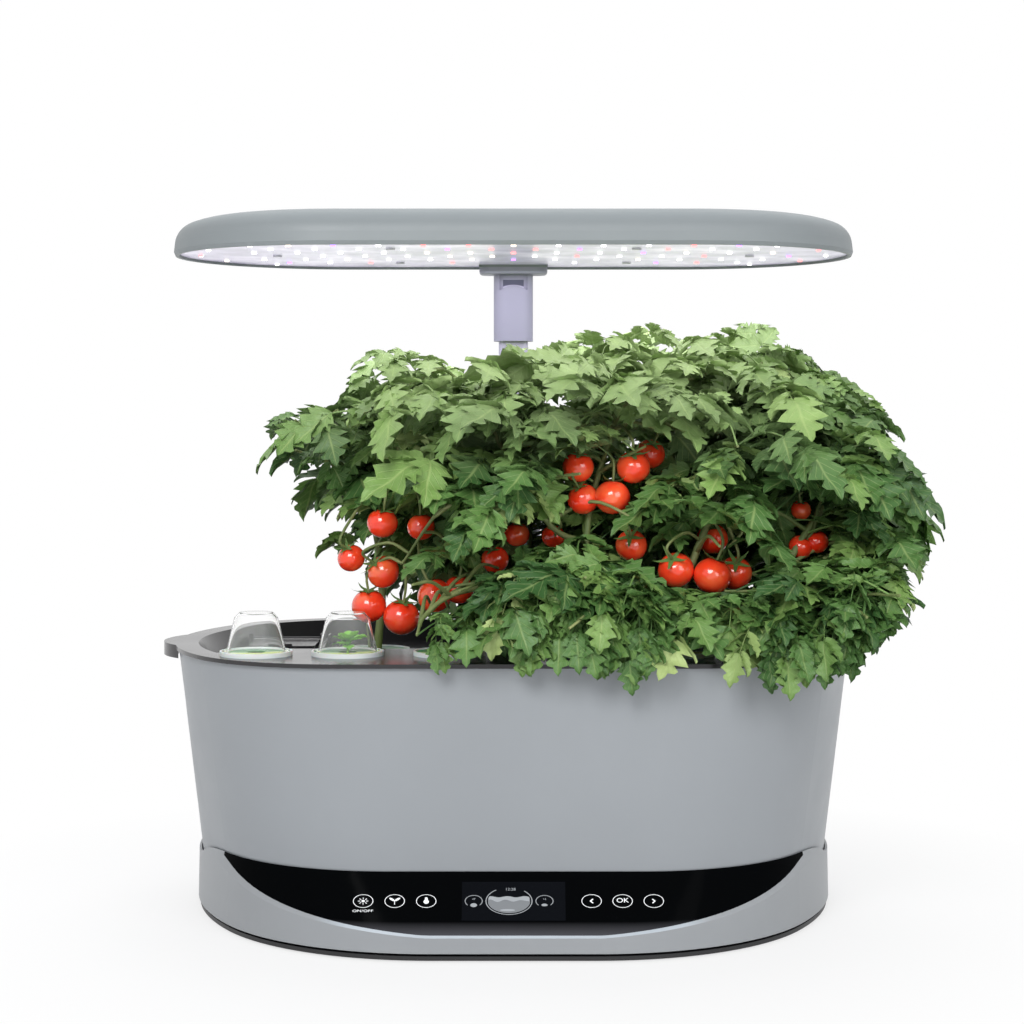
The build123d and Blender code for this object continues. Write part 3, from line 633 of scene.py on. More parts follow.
def key_marks():
    sun, sprout, drop, back, ok, onward = (-84.0, -66.4, -48.8, 43.5, 60.8, 78.2)
    keys = (sun, sprout, drop, back, ok, onward)
    marks = [ring_mark(x, 0, 5.65, 0.36, KEY_SQUEEZE) for x in keys]
    marks += sun_mark(sun) + sprout_mark(sprout) + drop_mark(drop)
    marks.append(word_mark("ON/OFF", sun, -5.8, 2.3, 0.6))
    for x, way in ((back, 1), (onward, -1)):
        marks.append(bar_mark(x + 0.8 * way, 1.2, x - 0.8 * way, -0.1, 0.62))
        marks.append(bar_mark(x + 0.8 * way, -1.2, x - 0.8 * way, 0.1, 0.62))
    marks.append(word_mark("OK", ok, 0.3, 3.4))
    return marks


def raised(name, marks, lift, thickness, finish):
    """Joins flat marks into one thin print on the console's face."""
    piece = joined(name, marks)
    finish_with(piece, "SOLIDIFY", thickness=thickness, offset=1.0)
    piece.data.transform(on_panel(lift))
    return dress(piece, finish, "base")


def printed(name, colour, glow):
    lit = {"Emission_Color": colour, "Emission_Strength": glow}
    return moulded(name, colour, 0.4, depth=0.0, mottle=0.02, **lit)


mark_white = printed("mark_white", tone(226, 228, 230), 0.25)
screen_bright = printed("screen_bright", tone(140, 144, 148), 0.12)
screen_middle = printed("screen_middle", tone(102, 106, 110), 0.12)

raised("key_marks", key_marks(), 0.02, 0.05, mark_white)

gauge_x, gauge_half, gauge_deep = -2.6, 11.7, 7.0
left_screen, right_screen = gauge_x - 19.7, gauge_x + 19.8


def tank_floor(x):
    return -gauge_deep * max(0.0, 1 - (x / (gauge_half + 0.2)) ** 2) ** 0.5


def water_top(x):
    return min(2.5 + 0.35 * cos(2 * pi * (x + 0.9) / 9.6), -tank_floor(x))


def light_depth(x):
    return max(water_top(x) - 2.3 - 0.4 * cos(2 * pi * (x - 1.5) / 8.2), tank_floor(x))


screen_lines = [
    ring_mark(gauge_x, 0, 13.1, 0.5, GAUGE_SQUEEZE, (85, 38), 96),
    ring_mark(left_screen, 0, 5.0, 0.42, KEY_SQUEEZE, (-90, 46)),
    ring_mark(right_screen, 0, 5.0, 0.42, KEY_SQUEEZE, (-90, 46)),
    word_mark("12:28", gauge_x + 0.8, 6.9, 1.9),
    word_mark("47", left_screen, 1.1, 1.3),
    word_mark("14", right_screen, 1.1, 1.3),
]
raised("screen_lines", screen_lines, 0.02, 0.05, screen_bright)

water_body = placed_mark(wave_mark(gauge_half, tank_floor, water_top), gauge_x, 0)
raised("screen_water", [water_body], 0.02, 0.03, screen_middle)
water_light = placed_mark(wave_mark(gauge_half - 0.4, light_depth, water_top), gauge_x, 0)
screen_lights = [
    water_light,
    disc_mark(gauge_x - 0.8, -5.3, 4.2, squeeze=0.15),
    disc_mark(left_screen, -2.4, 1.9, squeeze=0.6),
    disc_mark(right_screen, -2.3, 1.7, squeeze=0.45),
]
raised("screen_lights", screen_lights, 0.05, 0.03, screen_bright)


# ---------------------------------------------------------------- pods
FRONT_PODS = tuple((x, -94, 164) for x in (-149, -96, -37, 37, 96, 149))
PODS = (*FRONT_PODS, (-88, 52, 150), (0, 44, 150), (88, 52, 150))
LABEL_RADIUS, LABEL_RIM, LABEL_THICKNESS, LABEL_LIFT = 19.5, 14.0, 0.6, 1.2


def label_finish():
    """Printed label in two greens, split by a pale curved band."""
    f = Finish("label_print", tone(80, 160, 60), 0.42)
    u, v, _ = f.axes(f.add("ShaderNodeTexCoord").outputs["UV"])
    swing = f.maths("MULTIPLY", f.maths("SINE", f.maths("MULTIPLY", u, 5.2)), 0.09)
    colour = f.ramp(
        f.maths("ADD", v, swing),
        (0.0, tone(176, 206, 60)),
        (0.44, tone(196, 216, 76)),
        (0.47, tone(232, 240, 214)),
        (0.50, tone(60, 142, 58)),
        (0.74, tone(40, 122, 62)),
    )
    flecks = f.span(f.noise(600, 2), 0.3, 0.7, 0.0, 0.08)
    f.into("Base Color", f.mix(flecks, colour, tone(255, 255, 255)))
    f.bump(f.noise(1500, 2), 0.2, 0.03 * MM)
    return f.material


label_print = label_finish()


def label_disc():
    """One printed label with its planting hole, and UVs that span it."""
    piece = flat_disc("label", LABEL_RADIUS * MM, 64)
    hollow(piece, LABEL_RIM * MM)
    finish_with(piece, "SOLIDIFY", thickness=LABEL_THICKNESS * MM, offset=1.0)
    sheet = piece.data.uv_layers.active or piece.data.uv_layers.new(name="UVMap")
    span = 2 * LABEL_RADIUS * MM
    for loop in piece.data.loops:
        x, y, _ = piece.data.vertices[loop.vertex_index].co
        sheet.data[loop.index].uv = (0.5 + x / span, 0.5 + y / span)
    return piece


label_master = label_disc()


def labels_at(name, places, body, replaced):
    copies = []
    for x, y, z in places:
        place = (x * MM, y * MM, (z + LABEL_LIFT) * MM)
        copies.append(copy_of(label_master, Matrix.Translation(place)))
    piece = smooth(joined(name, copies), 40)
    return dress(piece, label_print, body, replaced)


labels_at("pod_1_printed_label", PODS[:1], "pod_1", ["pod_1_label"])
labels_at("pod_2_printed_label", PODS[1:2], "pod_2", ["pod_2_label"])
labels_at("deck_printed_labels", PODS[2:], "deck", ["deck_pod_labels"])
bpy.data.objects.remove(label_master)


# ---------------------------------------------------------------- leaves
def leaf_finish(name, deep, middle, fresh, pale):
    """Leaf skin: tint by leaf, paler veins along the leaflet's own UV, painted lamp light paling
    the high leaves near the lamp, and painted shade darkening the low ones.
    """
    f = Finish(name, middle, 0.46, Specular_IOR_Level=0.4)
    tint = f.add("ShaderNodeAttribute", attribute_name="tint").outputs["Fac"]
    skin = f.ramp(tint, (0.0, deep), (0.45, middle), (0.8, fresh), (1.0, pale))
    u, v, _ = f.axes(f.add("ShaderNodeTexCoord").outputs["UV"])
    aside = f.maths("ABSOLUTE", f.maths("SUBTRACT", u, 0.5))
    rib = f.span(aside, 0.0, 0.05, 1.0, 0.0)
    slant = f.maths("SUBTRACT", f.maths("MULTIPLY", v, 6.0), f.maths("MULTIPLY", aside, 5.0))
    wave = f.maths("ABSOLUTE", f.maths("SUBTRACT", f.maths("FRACT", slant), 0.5))
    vein = f.span(wave, 0.0, 0.09, 0.75, 0.0)
    lines = f.maths("MAXIMUM", rib, vein)
    skin = f.mix(f.maths("MULTIPLY", lines, 0.38), skin, pale)
    x, _, z = f.axes()
    off_axis = f.maths("ABSOLUTE", f.maths("SUBTRACT", x, 0.03))
    # painted lamp light: leaves high in the crown and near its middle are paled towards a washed
    # yellow-green
    high, lamp_lit_middle = f.span(z, 0.265, 0.330, 0.0, 0.72), f.span(off_axis, 0.08, 0.17, 1.0, 0.3)
    skin = f.mix(f.maths("MULTIPLY", high, lamp_lit_middle), skin, tone(192, 214, 150))
    # painted shade: leaves low in the crown are darkened towards the deep green
    skin = f.mix(f.span(z, 0.150, 0.225, 0.30, 0.0), skin, deep)
    skin = f.mix(f.span(f.noise(120, 3), 0.3, 0.7, 0.0, 0.18), skin, deep)
    f.into("Base Color", skin)
    f.bump(f.maths("ADD", f.maths("MULTIPLY", lines, -0.6), f.noise(420, 2)), 0.5, 0.8 * MM)
    return f.material


leaf_green = leaf_finish(
    "leaf_green", tone(54, 90, 44), tone(90, 128, 64), tone(130, 162, 86), tone(188, 206, 134)
)
sprout_green = leaf_finish(
    "sprout_green", tone(84, 160, 40), tone(120, 198, 58), tone(156, 218, 80), tone(206, 238, 130)
)


def stem_finish():
    """Green stem with browner streaks along it."""
    f = Finish("stem_green", tone(112, 128, 72), 0.6)
    streaks = f.noise(60, 4, stretch=(1, 1, 0.3))
    f.into("Base Color", f.ramp(streaks, (0.3, tone(84, 104, 52)), (0.7, tone(142, 150, 96))))
    f.bump(f.noise(900, 3), 0.6, 0.4 * MM)
    return f.material


stem_green = stem_finish()

# share of the full width, and how far the edge stands out or is cut in, row by row from the base
LEAFLET_EDGE = (
    (0.06, 0.0), (0.50, 0.0), (0.80, 0.08), (0.92, -0.20), (0.98, 0.10),
    (1.0, -0.42), (1.0, -0.14), (0.97, 0.12), (0.90, -0.10), (0.80, -0.44),
    (0.68, 0.04), (0.54, 0.10), (0.38, -0.26), (0.22, 0.0), (0.02, 0.0),
)
LEAFLET_ROWS = len(LEAFLET_EDGE) - 1


def leaflet(name, width, fold, droop, ripple, depth):
    """One lobed leaflet, 1 long, base at the origin, tip along +Y, rib along the middle."""
    piece = grid(name, 4, LEAFLET_ROWS, location=(0, 0.5, 0))

    def column(v):
        return v.index % 5

    def row(v):
        return v.index // 5

    for out, lift in ((1, 0.5), (2, 1.0)):
        reshape(piece, lambda v: abs(column(v) - 2) == out, move=(0, 0, fold * lift * 0.5))
    for at, (share, lobe) in enumerate(LEAFLET_EDGE):
        t = at / LEAFLET_ROWS
        sag = (0, 0, -droop * t * t + ripple * sin(9 * t))
        reshape(piece, lambda v: row(v) == at, (width * share, 1, 1), (0, t, 0), sag)
        edge = (0, 0.3 * max(lobe, 0.0), -ripple * lobe * 2)
        outer = (1 + depth * lobe, 1, 1)
        reshape(piece, lambda v: row(v) == at and column(v) in (0, 4), outer, (0, t, 0), edge)
    return piece


leaflets = [
    leaflet("leaflet_a", 0.74, 0.20, 0.26, 0.026, 1.0),
    leaflet("leaflet_b", 0.84, 0.10, 0.38, 0.036, 1.15),
    leaflet("leaflet_c", 0.62, 0.28, 0.14, 0.020, 0.8),
]


def curve_points(points, steps):
    """A smooth run through the given points (Catmull-Rom)."""
    line = [points[0] * 2 - points[1], *points, points[-1] * 2 - points[-2]]
    out = []
    for i in range(1, len(line) - 2):
        a, b, c, d = line[i - 1 : i + 3]
        square, cube = 2 * a - 5 * b + 4 * c - d, 3 * b - a - 3 * c + d
        for k in range(steps):
            t = k / steps
            out.append(0.5 * (2 * b + (c - a) * t + square * t * t + cube * t**3))
    out.append(points[-1])
    return out


def on_scale(points):
    return [Vector(p) * MM for p in points]


def stalk(name, points, thick, thin, sides):
    """A tapering round stem through the points, made a mesh."""
    curve = bpy.data.curves.new(name, "CURVE")
    curve.dimensions = "3D"
    curve.bevel_depth = 1.0
    curve.bevel_resolution = sides
    curve.use_fill_caps = True
    spline = curve.splines.new("POLY")
    spline.points.add(len(points) - 1)
    for i, (point, spot) in enumerate(zip(points, spline.points)):
        spot.co = (*point, 1)
        spot.radius = thick + (thin - thick) * i / (len(points) - 1)
    piece = bpy.data.objects.new(name, curve)
    bpy.context.scene.collection.objects.link(piece)
    take(piece)
    bpy.ops.object.convert(target="MESH")
    return bpy.context.object


def facing(origin, along, size=1.0, roll=0.0):
    """Matrix that sends +Y along a direction, with +Z near the upward one."""
    y = along.normalized()
    x = y.cross(UP)
    x = x.normalized() if x.length > 1e-6 else Vector((1, 0, 0))
    z = x.cross(y)
    turn = Matrix(((x[0], y[0], z[0]), (x[1], y[1], z[1]), (x[2], y[2], z[2]))).to_4x4()
    return Matrix.Translation(origin) @ turn @ Matrix.Rotation(roll, 4, "Y") @ Matrix.Scale(size, 4)


def compound_leaf(name, path, pairs, terminal, seed):
    """A leaf of several leaflets along a stalk that starts at the origin and runs along +Y."""
    dice = Random(seed)
    line = curve_points(on_scale(path), 5)
    parts = [stalk(name + "_stalk", line, 0.95 * MM, 0.45 * MM, 0)]
    parts[0].data.uv_layers.new(name="UVMap")
    lengths = [0.0]
    for a, b in zip(line, line[1:]):
        lengths.append(lengths[-1] + (b - a).length)

    def at(share):
        want = share * lengths[-1]
        for i in range(1, len(line)):
            if lengths[i] >= want:
                t = (want - lengths[i - 1]) / max(lengths[i] - lengths[i - 1], 1e-9)
                return line[i - 1].lerp(line[i], t), (line[i] - line[i - 1]).normalized()
        return line[-1], (line[-1] - line[-2]).normalized()

    spot, way = at(1.0)
    parts.append(copy_of(dice.choice(leaflets), facing(spot, way, terminal * MM)))
    for i in range(pairs):
        share = 0.34 + 0.60 * i / max(pairs - 1, 1)
        for side in (-1, 1):
            spot, way = at(min(share + dice.uniform(-0.04, 0.04), 0.99))
            across = way.cross(UP).normalized() * side
            turn = dice.uniform(0.75, 1.15)
            heading = way * cos(turn) + across * sin(turn) + UP * dice.uniform(-0.25, 0.1)
            size = terminal * dice.uniform(0.62, 0.9) * (0.72 + 0.28 * share)
            master = dice.choice(leaflets)
            matrix = facing(spot, heading, size * MM, side * dice.uniform(-0.1, 0.35))
            parts.append(copy_of(master, matrix))
    return joined(name, parts)


# the stalk's points, the pairs of leaflets and the length of the last leaflet
LEAVES = (
    (((0, 0, 0), (0, 22, 5), (0, 46, 4), (0, 66, -4)), 3, 38),
    (((0, 0, 0), (2, 20, 8), (-2, 40, 10), (0, 56, 2)), 3, 34),
    (((0, 0, 0), (-3, 24, 3), (2, 44, -6), (6, 60, -22)), 3, 40),
    (((0, 0, 0), (3, 18, 4), (5, 34, 0), (2, 48, -12)), 2, 36),
)
leaves = [compound_leaf(f"leaf_{i}", *leaf, 11 + i) for i, leaf in enumerate(LEAVES)]
HANGING_PATH = ((0, 0, 0), (0, 14, 4), (1, 27, 1), (2, 36, -12), (3, 40, -30))
hanging_leaf = compound_leaf("leaf_hanging", HANGING_PATH, 3, 34, 31)

# the main shoots, from the pods' mouths or from an older shoot to their tips
SHOOTS = (
    ((-88, 52, 150), (-85, 50, 200), (-95, 35, 250), (-120, 10, 285), (-135, -10, 300)),
    ((-86, 50, 196), (-60, 10, 240), (-70, -30, 280), (-60, -50, 325), (-45, -50, 335)),
    ((0, 44, 150), (5, 40, 200), (0, 20, 260), (10, 0, 310), (25, 0, 345)),
    ((4, 38, 205), (10, -10, 230), (-10, -50, 260), (-40, -75, 250), (-66, -62, 215)),
    ((88, 52, 150), (90, 50, 210), (100, 30, 270), (110, 20, 330), (115, 10, 345)),
    ((94, 42, 200), (120, 50, 230), (160, 50, 280), (185, 40, 315), (200, 35, 320)),
    ((37, -94, 164), (40, -90, 200), (45, -80, 250), (60, -60, 300), (65, -50, 345)),
    ((96, -94, 164), (100, -90, 205), (120, -80, 255), (140, -60, 300), (150, -40, 335)),
    ((149, -94, 164), (152, -90, 200), (175, -80, 240), (205, -60, 270), (225, -50, 285)),
    ((150, -92, 180), (165, -85, 190), (195, -80, 200), (215, -80, 190), (225, -85, 178)),
    ((38, -92, 176), (20, -95, 190), (-15, -100, 205), (-42, -98, 203)),
    ((97, -93, 172), (90, -105, 185), (80, -116, 190), (75, -124, 180)),
    ((-15, -100, 205), (-36, -114, 200), (-50, -128, 190), (-54, -140, 180)),
    ((148, -92, 176), (160, -104, 188), (172, -112, 190), (184, -114, 182)),
    ((42, -84, 228), (20, -80, 240), (-10, -85, 290), (-20, -70, 320)),
    ((90, 50, 200), (70, 75, 230), (50, 85, 290), (40, 80, 330)),
    ((-86, 50, 190), (-60, 70, 220), (-50, 80, 280), (-44, 75, 310)),
    ((160, -84, 212), (170, -20, 220), (205, 10, 250), (225, 20, 270)),
)

# X, depth Y, height Z and radius of each fruit
FRUITS = (
    (37.6, -85, 272.6, 9.3), (69.7, -88, 272.6, 9.9), (80.5, -70, 280.0, 9.0),
    (40.5, -86, 254.0, 9.3), (57.4, -90, 255.1, 10.5), (68.5, -88, 227.1, 9.3),
    (93.6, -98, 213.5, 10.5), (114.5, -100, 210.3, 11.0), (129.0, -86, 210.8, 10.0),
    (117.0, -72, 230.1, 9.4), (-78.6, -50, 238.3, 9.3), (-55.4, -50, 235.9, 8.4),
    (-78.0, -50, 209.0, 9.9), (-97.6, -46, 217.0, 8.4), (-86.8, -48, 188.5, 10.5),
    (-67.0, -54, 182.2, 11.0), (-47.0, -56, 195.2, 10.5), (-32.6, -52, 198.6, 9.0),
    (-11.2, -52, 216.5, 8.4), (2.1, -50, 231.4, 7.6), (23.5, -66, 231.2, 7.0),
    (168.0, -80, 225.6, 7.2), (177.6, -78, 228.5, 7.2), (168.8, -76, 247.2, 6.0),
)
EYE = (-0.93, -1337.0, 300.0)  # the camera's place

# the crown's outline from the front, as X and height on the plane Y = 0
CROWN_ENDS = (-172, 280)
CROWN_TOP = (
    (-172, 284), (-157, 294), (-133, 301), (-117, 320), (-105, 326), (-78, 347),
    (-36, 347), (16, 344), (27, 362), (38, 371), (79, 365), (116, 359),
    (175, 352), (197, 331), (237, 311), (246, 288), (264, 252), (280, 232),
)
CROWN_FOOT = (
    (-172, 262), (-148, 256), (-133, 240), (-105, 212), (-84, 163), (-76, 140), (-8, 140),
    (48, 135), (79, 125), (157, 122), (206, 128), (228, 156), (250, 176), (280, 212),
)

# the room that leaves keep clear of, and the room they have, in millimetres
MAST_HALF, MAST_FROM_Y = 36, 95
DOME_CLEAR, DOME_CLEAR_TOP = 25, 292
LID_X, LID_Y, LID_TOP = (-176, -122), (26, 77), 198
RIM_X = (0, 125, 150, 170, 185, 198, 219)
RIM_Y = (-145, -145, -137, -124, -107, -82, -20)
RIM_TOP = 167
LEAF_X, LEAF_Y, LEAF_Z = (-236, 268), (-165, 158), (140, 374)


def seen_at(x, y, z):
    """Where a point shows from the front, as shares of the distance."""
    depth = y - EYE[1]
    return (x - EYE[0]) / depth, (z - EYE[2]) / depth


def blocked(points, slack=0.0):
    """True where leaves may not grow: by the mast, domes, lid and rim, and outside the crown."""
    x, y, z = (points / MM).T

    def between(value, limits):
        return (value > limits[0]) & (value < limits[1])

    bad = (abs(x) < MAST_HALF) & (y > MAST_FROM_Y)
    for pod_x, pod_y, _ in PODS[:2]:
        bad |= (np.hypot(x - pod_x, y - pod_y) < DOME_CLEAR) & (z < DOME_CLEAR_TOP)
    bad |= between(x, LID_X) & between(y, LID_Y) & (z < LID_TOP)
    bad |= (z < RIM_TOP) & (y > np.interp(abs(x), RIM_X, RIM_Y))
    bad |= ~(between(x, LEAF_X) & between(y, LEAF_Y) & between(z, LEAF_Z))
    across, up = seen_at(x, y, z)
    on_plane = EYE[0] - across * EYE[1]
    height = EYE[2] - up * EYE[1]
    bad |= (on_plane < CROWN_ENDS[0] - slack) | (on_plane > CROWN_ENDS[1])
    bad |= height > np.interp(on_plane, *zip(*CROWN_TOP)) + slack
    bad |= height < np.interp(on_plane, *zip(*CROWN_FOOT)) - slack
    return bad.any()


def hides_fruit(points):
    """True where a leaf would stand in front of a fruit with more than three of its points."""
    x, y, z = (points / MM).T
    across, up = seen_at(x, y, z)
    hidden = 0
    for fx, fy, fz, radius in FRUITS:
        at_x, at_z = seen_at(fx, fy, fz)
        reach = 0.9 * radius / (fy - EYE[1])
        near = (np.hypot(across - at_x, up - at_z) < reach) & (y < fy + radius)
        hidden += near.sum()
    return hidden > 3


dice = Random(2026)
mesh_points = {}
for leaf in [*leaves, hanging_leaf]:
    flat = np.empty(len(leaf.data.vertices) * 3)
    leaf.data.vertices.foreach_get("co", flat)
    mesh_points[leaf.name] = flat.reshape(-1, 3)


def placed(leaf, matrix):
    turn = np.array(matrix)
    return mesh_points[leaf.name] @ turn[:3, :3].T + turn[:3, 3]


def tinted(piece, value):
    """Writes one tint from 0, deep, to 1, pale, over a piece."""
    kept = piece.data.attributes
    layer = kept.get("tint") or kept.new("tint", "FLOAT", "POINT")
    layer.data.foreach_set("value", [value] * len(piece.data.vertices))
    return piece


def leaf_copy(leaf, matrix, fresh):
    """A placed leaf whose tint is drawn around one value."""
    return tinted(copy_of(leaf, matrix), min(1.0, max(0.0, dice.gauss(fresh, 0.28))))


TWIG_SHARES = (0.36, 0.48, 0.60, 0.72, 0.84)


def twigs():
    """Side shoots off the main ones, where there is room."""
    luck = Random(77)
    grown = []
    for shoot in SHOOTS:
        line = curve_points([Vector(p) for p in shoot], 8)
        for share in TWIG_SHARES:
            root = line[int(share * (len(line) - 1))]
            for attempt in range(8):
                turn = luck.uniform(0, 2 * pi)
                reach = luck.uniform(30, 62)
                out = Vector((cos(turn), sin(turn), 0)) * reach
                knee = root + out * 0.5 + Vector((0, 0, 0.22 * reach))
                tip = root + out + Vector((0, 0, luck.uniform(-0.2, 0.45) * reach))
                if not blocked(np.array([knee, tip]) * MM, -12):
                    grown.append((tuple(root), tuple(knee), tuple(tip)))
                    break
    return grown


# the lamp may press down the part of the crown above the split, so no leaf rooted under
# UPPER_ROOT reaches higher than LOWER_REACH
SPLIT, UPPER_ROOT, LOWER_REACH = 0.300, 0.292, 0.317
LEAF_FROM = 0.176
CROWN_MIDDLE = Vector((45, -5, 0)) * MM

side_shoots = twigs()
lower_leaves, upper_leaves = [], []
for number, shoot in enumerate((*SHOOTS, *side_shoots)):
    spacing = (3.2 if number < len(SHOOTS) else 5.0) * (1.5 if shoot[-1][0] < -30 else 1.0) * MM
    line = curve_points(on_scale(shoot), 12)
    travelled, next_leaf = 0.0, 10 * MM
    heading = dice.uniform(0, 2 * pi)
    for a, b in zip(line, line[1:]):
        travelled += (b - a).length
        if travelled < next_leaf or b.z < LEAF_FROM:
            continue
        next_leaf = travelled + spacing * dice.uniform(0.8, 1.2)
        slack = dice.gauss(-5, 10)
        for attempt in range(14):
            heading += radians(137.5) + dice.uniform(-0.4, 0.4)
            outward = b - CROWN_MIDDLE
            outward.z = 0
            outward = outward.normalized() * 0.65 if outward.length > 0.02 else Vector()
            rise = dice.uniform(-0.25, 0.45) + (0.25 if b.z > 0.28 else 0.0)
            way = Vector((cos(heading), sin(heading), 0)) + outward
            way.z = rise
            leaf = dice.choice(leaves)
            size = dice.uniform(0.6, 1.0) * (0.78 if b.z > 0.31 else 1.0)
            matrix = facing(b, way, size, dice.uniform(-0.5, 0.5))
            points = placed(leaf, matrix)
            if blocked(points, slack) or hides_fruit(points):
                continue
            if b.z < UPPER_ROOT and points[:, 2].max() > LOWER_REACH:
                continue
            side = upper_leaves if b.z >= UPPER_ROOT else lower_leaves
            side.append(leaf_copy(leaf, matrix, 0.38))
            break

# the front row, which hangs over the deck's rim and opens where the rim shows
ROW_STEPS, ROW_START, ROW_LENGTH = 110, -64, 282
RIM_SHOWS = ((80, 122), (152, 174))
for step in range(ROW_STEPS):
    along = step / (ROW_STEPS - 1)
    x = ROW_START + ROW_LENGTH * along
    if any(low < x < high for low, high in RIM_SHOWS):
        continue
    y = dice.uniform(-138, -112) + 34 * max(0.0, (along - 0.72) / 0.28) ** 2
    for attempt in range(24):
        z = dice.uniform(171, 190) + attempt
        spin = pi + dice.uniform(-0.55, 0.55) - 0.35 * (along - 0.5)
        way = Vector((sin(spin), cos(spin), dice.uniform(-0.3, 0.1) + 0.012 * attempt))
        leaf = hanging_leaf if dice.random() < 0.7 else dice.choice(leaves)
        size = dice.uniform(0.55, 1.0) * min(1.0, 0.7 + 1.6 * along)
        matrix = facing(Vector((x, y, z)) * MM, way, size, dice.uniform(-0.3, 0.3))
        points = placed(leaf, matrix)
        if blocked(points) or hides_fruit(points):
            continue
        lower_leaves.append(leaf_copy(leaf, matrix, 0.42))
        break


def foliage(found, *names):
    """Joins leaves into pieces of equal count, from left to right."""
    order = sorted(found, key=lambda leaf: leaf.data.vertices[0].co.x)
    share = -(-len(order) // len(names))
    return [
        smooth(joined(name, order[i * share : (i + 1) * share])) for i, name in enumerate(names)
    ]


lower_foliage = foliage(
    lower_leaves,
    "foliage_left",
    "foliage_near_left",
    "foliage_middle",
    "foliage_near_right",
    "foliage_right",
)
top_foliage = foliage(upper_leaves, "foliage_top_left", "foliage_top_right")


# ---------------------------------------------------------------- stems and fruit
MAIN_STEMS = (0, 2, 4, 6, 7, 8)
MAIN_RADIUS, BRANCH_RADIUS, TWIG_RADIUS, TIP_RADIUS = 3.0, 2.0, 1.3, 0.8
lower_stems, upper_stems = [], []
for number, shoot in enumerate((*SHOOTS, *side_shoots)):
    grown = number < len(SHOOTS)
    line = curve_points(on_scale(shoot), 10 if grown else 5)
    root = TWIG_RADIUS
    if grown:
        root = MAIN_RADIUS if number in MAIN_STEMS else BRANCH_RADIUS
    last = len(line) - 1
    cut = next((i for i, p in enumerate(line) if p.z > SPLIT), last)
    at_cut = root + (TIP_RADIUS - root) * (cut / last)
    if cut > 0:
        lower_stems.append(stalk("stem", line[: cut + 1], root * MM, at_cut * MM, 2))
    if last - cut >= 2:
        upper_stems.append(stalk("stem", line[cut:], at_cut * MM, TIP_RADIUS * MM, 2))


def tomato():
    """One fruit, radius 1: a slightly flattened globe with a dimple for its calyx."""
    globe = bpy.ops.mesh.primitive_uv_sphere_add
    piece = start("tomato", globe, segments=28, ring_count=16, radius=1)
    reshape(piece, lambda v: v.co.z > 0.93, move=(0, 0, -0.10))
    reshape(piece, lambda v: v.co.z > 0.88 and hypot(v.co.x, v.co.y) < 0.1, move=(0, 0, -0.07))
    reshape(piece, lambda v: True, scale=(1.0, 1.0, 0.94))
    return smooth(piece)


# width and lift of a sepal's rows, from its root to its tip
SEPAL_ROWS = ((0.20, 0.02), (0.27, 0.08), (0.23, 0.12), (0.17, 0.13), (0.10, 0.20), (0.02, 0.34))


def calyx():
    """Five narrow green sepals that curl up off the fruit."""
    sepals = []
    for turn in range(5):
        sepal = grid("sepal", 2, 5, location=(0, 0.5, 0))
        for at, (width, lift) in enumerate(SEPAL_ROWS):
            row_at = (0, at / 5, 0)
            reshape(sepal, lambda v: v.index // 3 == at, (width, 1, 1), row_at, (0, 0, lift))
        spin = Matrix.Rotation(2 * pi * turn / 5, 4, "Z")
        sepal.data.transform(Matrix.Translation((0, 0, 0.80)) @ spin @ Matrix.Scale(1.05, 4))
        sepals.append(sepal)
    return joined("calyx", sepals)


def tomato_finish():
    """Wet red skin, lighter in patches."""
    wet = {"Coat_Weight": 0.6, "Coat_Roughness": 0.04}
    flesh = {"Subsurface_Weight": 0.25, "Subsurface_Scale": 0.004}
    f = Finish("tomato_skin", tone(254, 60, 30), 0.14, **wet, **flesh)
    reds = ((0.3, tone(252, 52, 24)), (0.55, tone(255, 74, 40)), (0.8, tone(255, 122, 70)))
    f.into("Base Color", f.ramp(f.noise(60, 3), *reds))
    f.bump(f.noise(500, 2), 0.05, 0.3 * MM)
    return f.material


tomato_skin = tomato_finish()
fruit_master, calyx_master = tomato(), calyx()
fruits, calyxes = [], []
stem_points = [p for shoot in SHOOTS for p in curve_points(on_scale(shoot), 6)]
homes = [p for p in stem_points if 0.18 < p.z < 0.30]
for x, y, z, radius in FRUITS:
    centre = Vector((x, y, z)) * MM
    home = min(homes, key=lambda p: (p - centre - Vector((0, 0, 0.03))).length)
    tilt = Euler((dice.uniform(-0.1, 0.9), dice.uniform(-0.5, 0.5), dice.uniform(-0.6, 0.6)))
    place = Matrix.Translation(centre) @ tilt.to_matrix().to_4x4() @ Matrix.Scale(radius * MM, 4)
    fruits.append(copy_of(fruit_master, place))
    calyxes.append(tinted(copy_of(calyx_master, place), 0.55))
    top, knee = (place @ Vector((0, 0, height)) for height in (0.8, 1.9))
    bend = knee.lerp(home, 0.55) + Vector((0, 0, 0.006))
    line = curve_points([top, knee, bend, home], 5)
    lower_stems.append(stalk("pedicel", line, 0.8 * MM, 1.1 * MM, 1))

fruit_piece = joined("tomatoes", fruits)
calyx_piece = smooth(joined("calyxes", calyxes))
stem_piece = smooth(joined("stems", lower_stems))
top_stem_piece = smooth(joined("top_stems", upper_stems))
for master in (fruit_master, calyx_master):
    bpy.data.objects.remove(master)

for piece in (*lower_foliage, calyx_piece):
    dress(piece, leaf_green, "deck", ["tomato_plants"])
dress(stem_piece, stem_green, "deck", ["tomato_plants"])
dress(fruit_piece, tomato_skin, "deck", ["tomato_plants"])
for piece in top_foliage:
    dress(piece, leaf_green, "deck", ["tomato_canopy"])
dress(top_stem_piece, stem_green, "deck", ["tomato_canopy"])
for piece in (*top_foliage, top_stem_piece):
    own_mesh(piece)


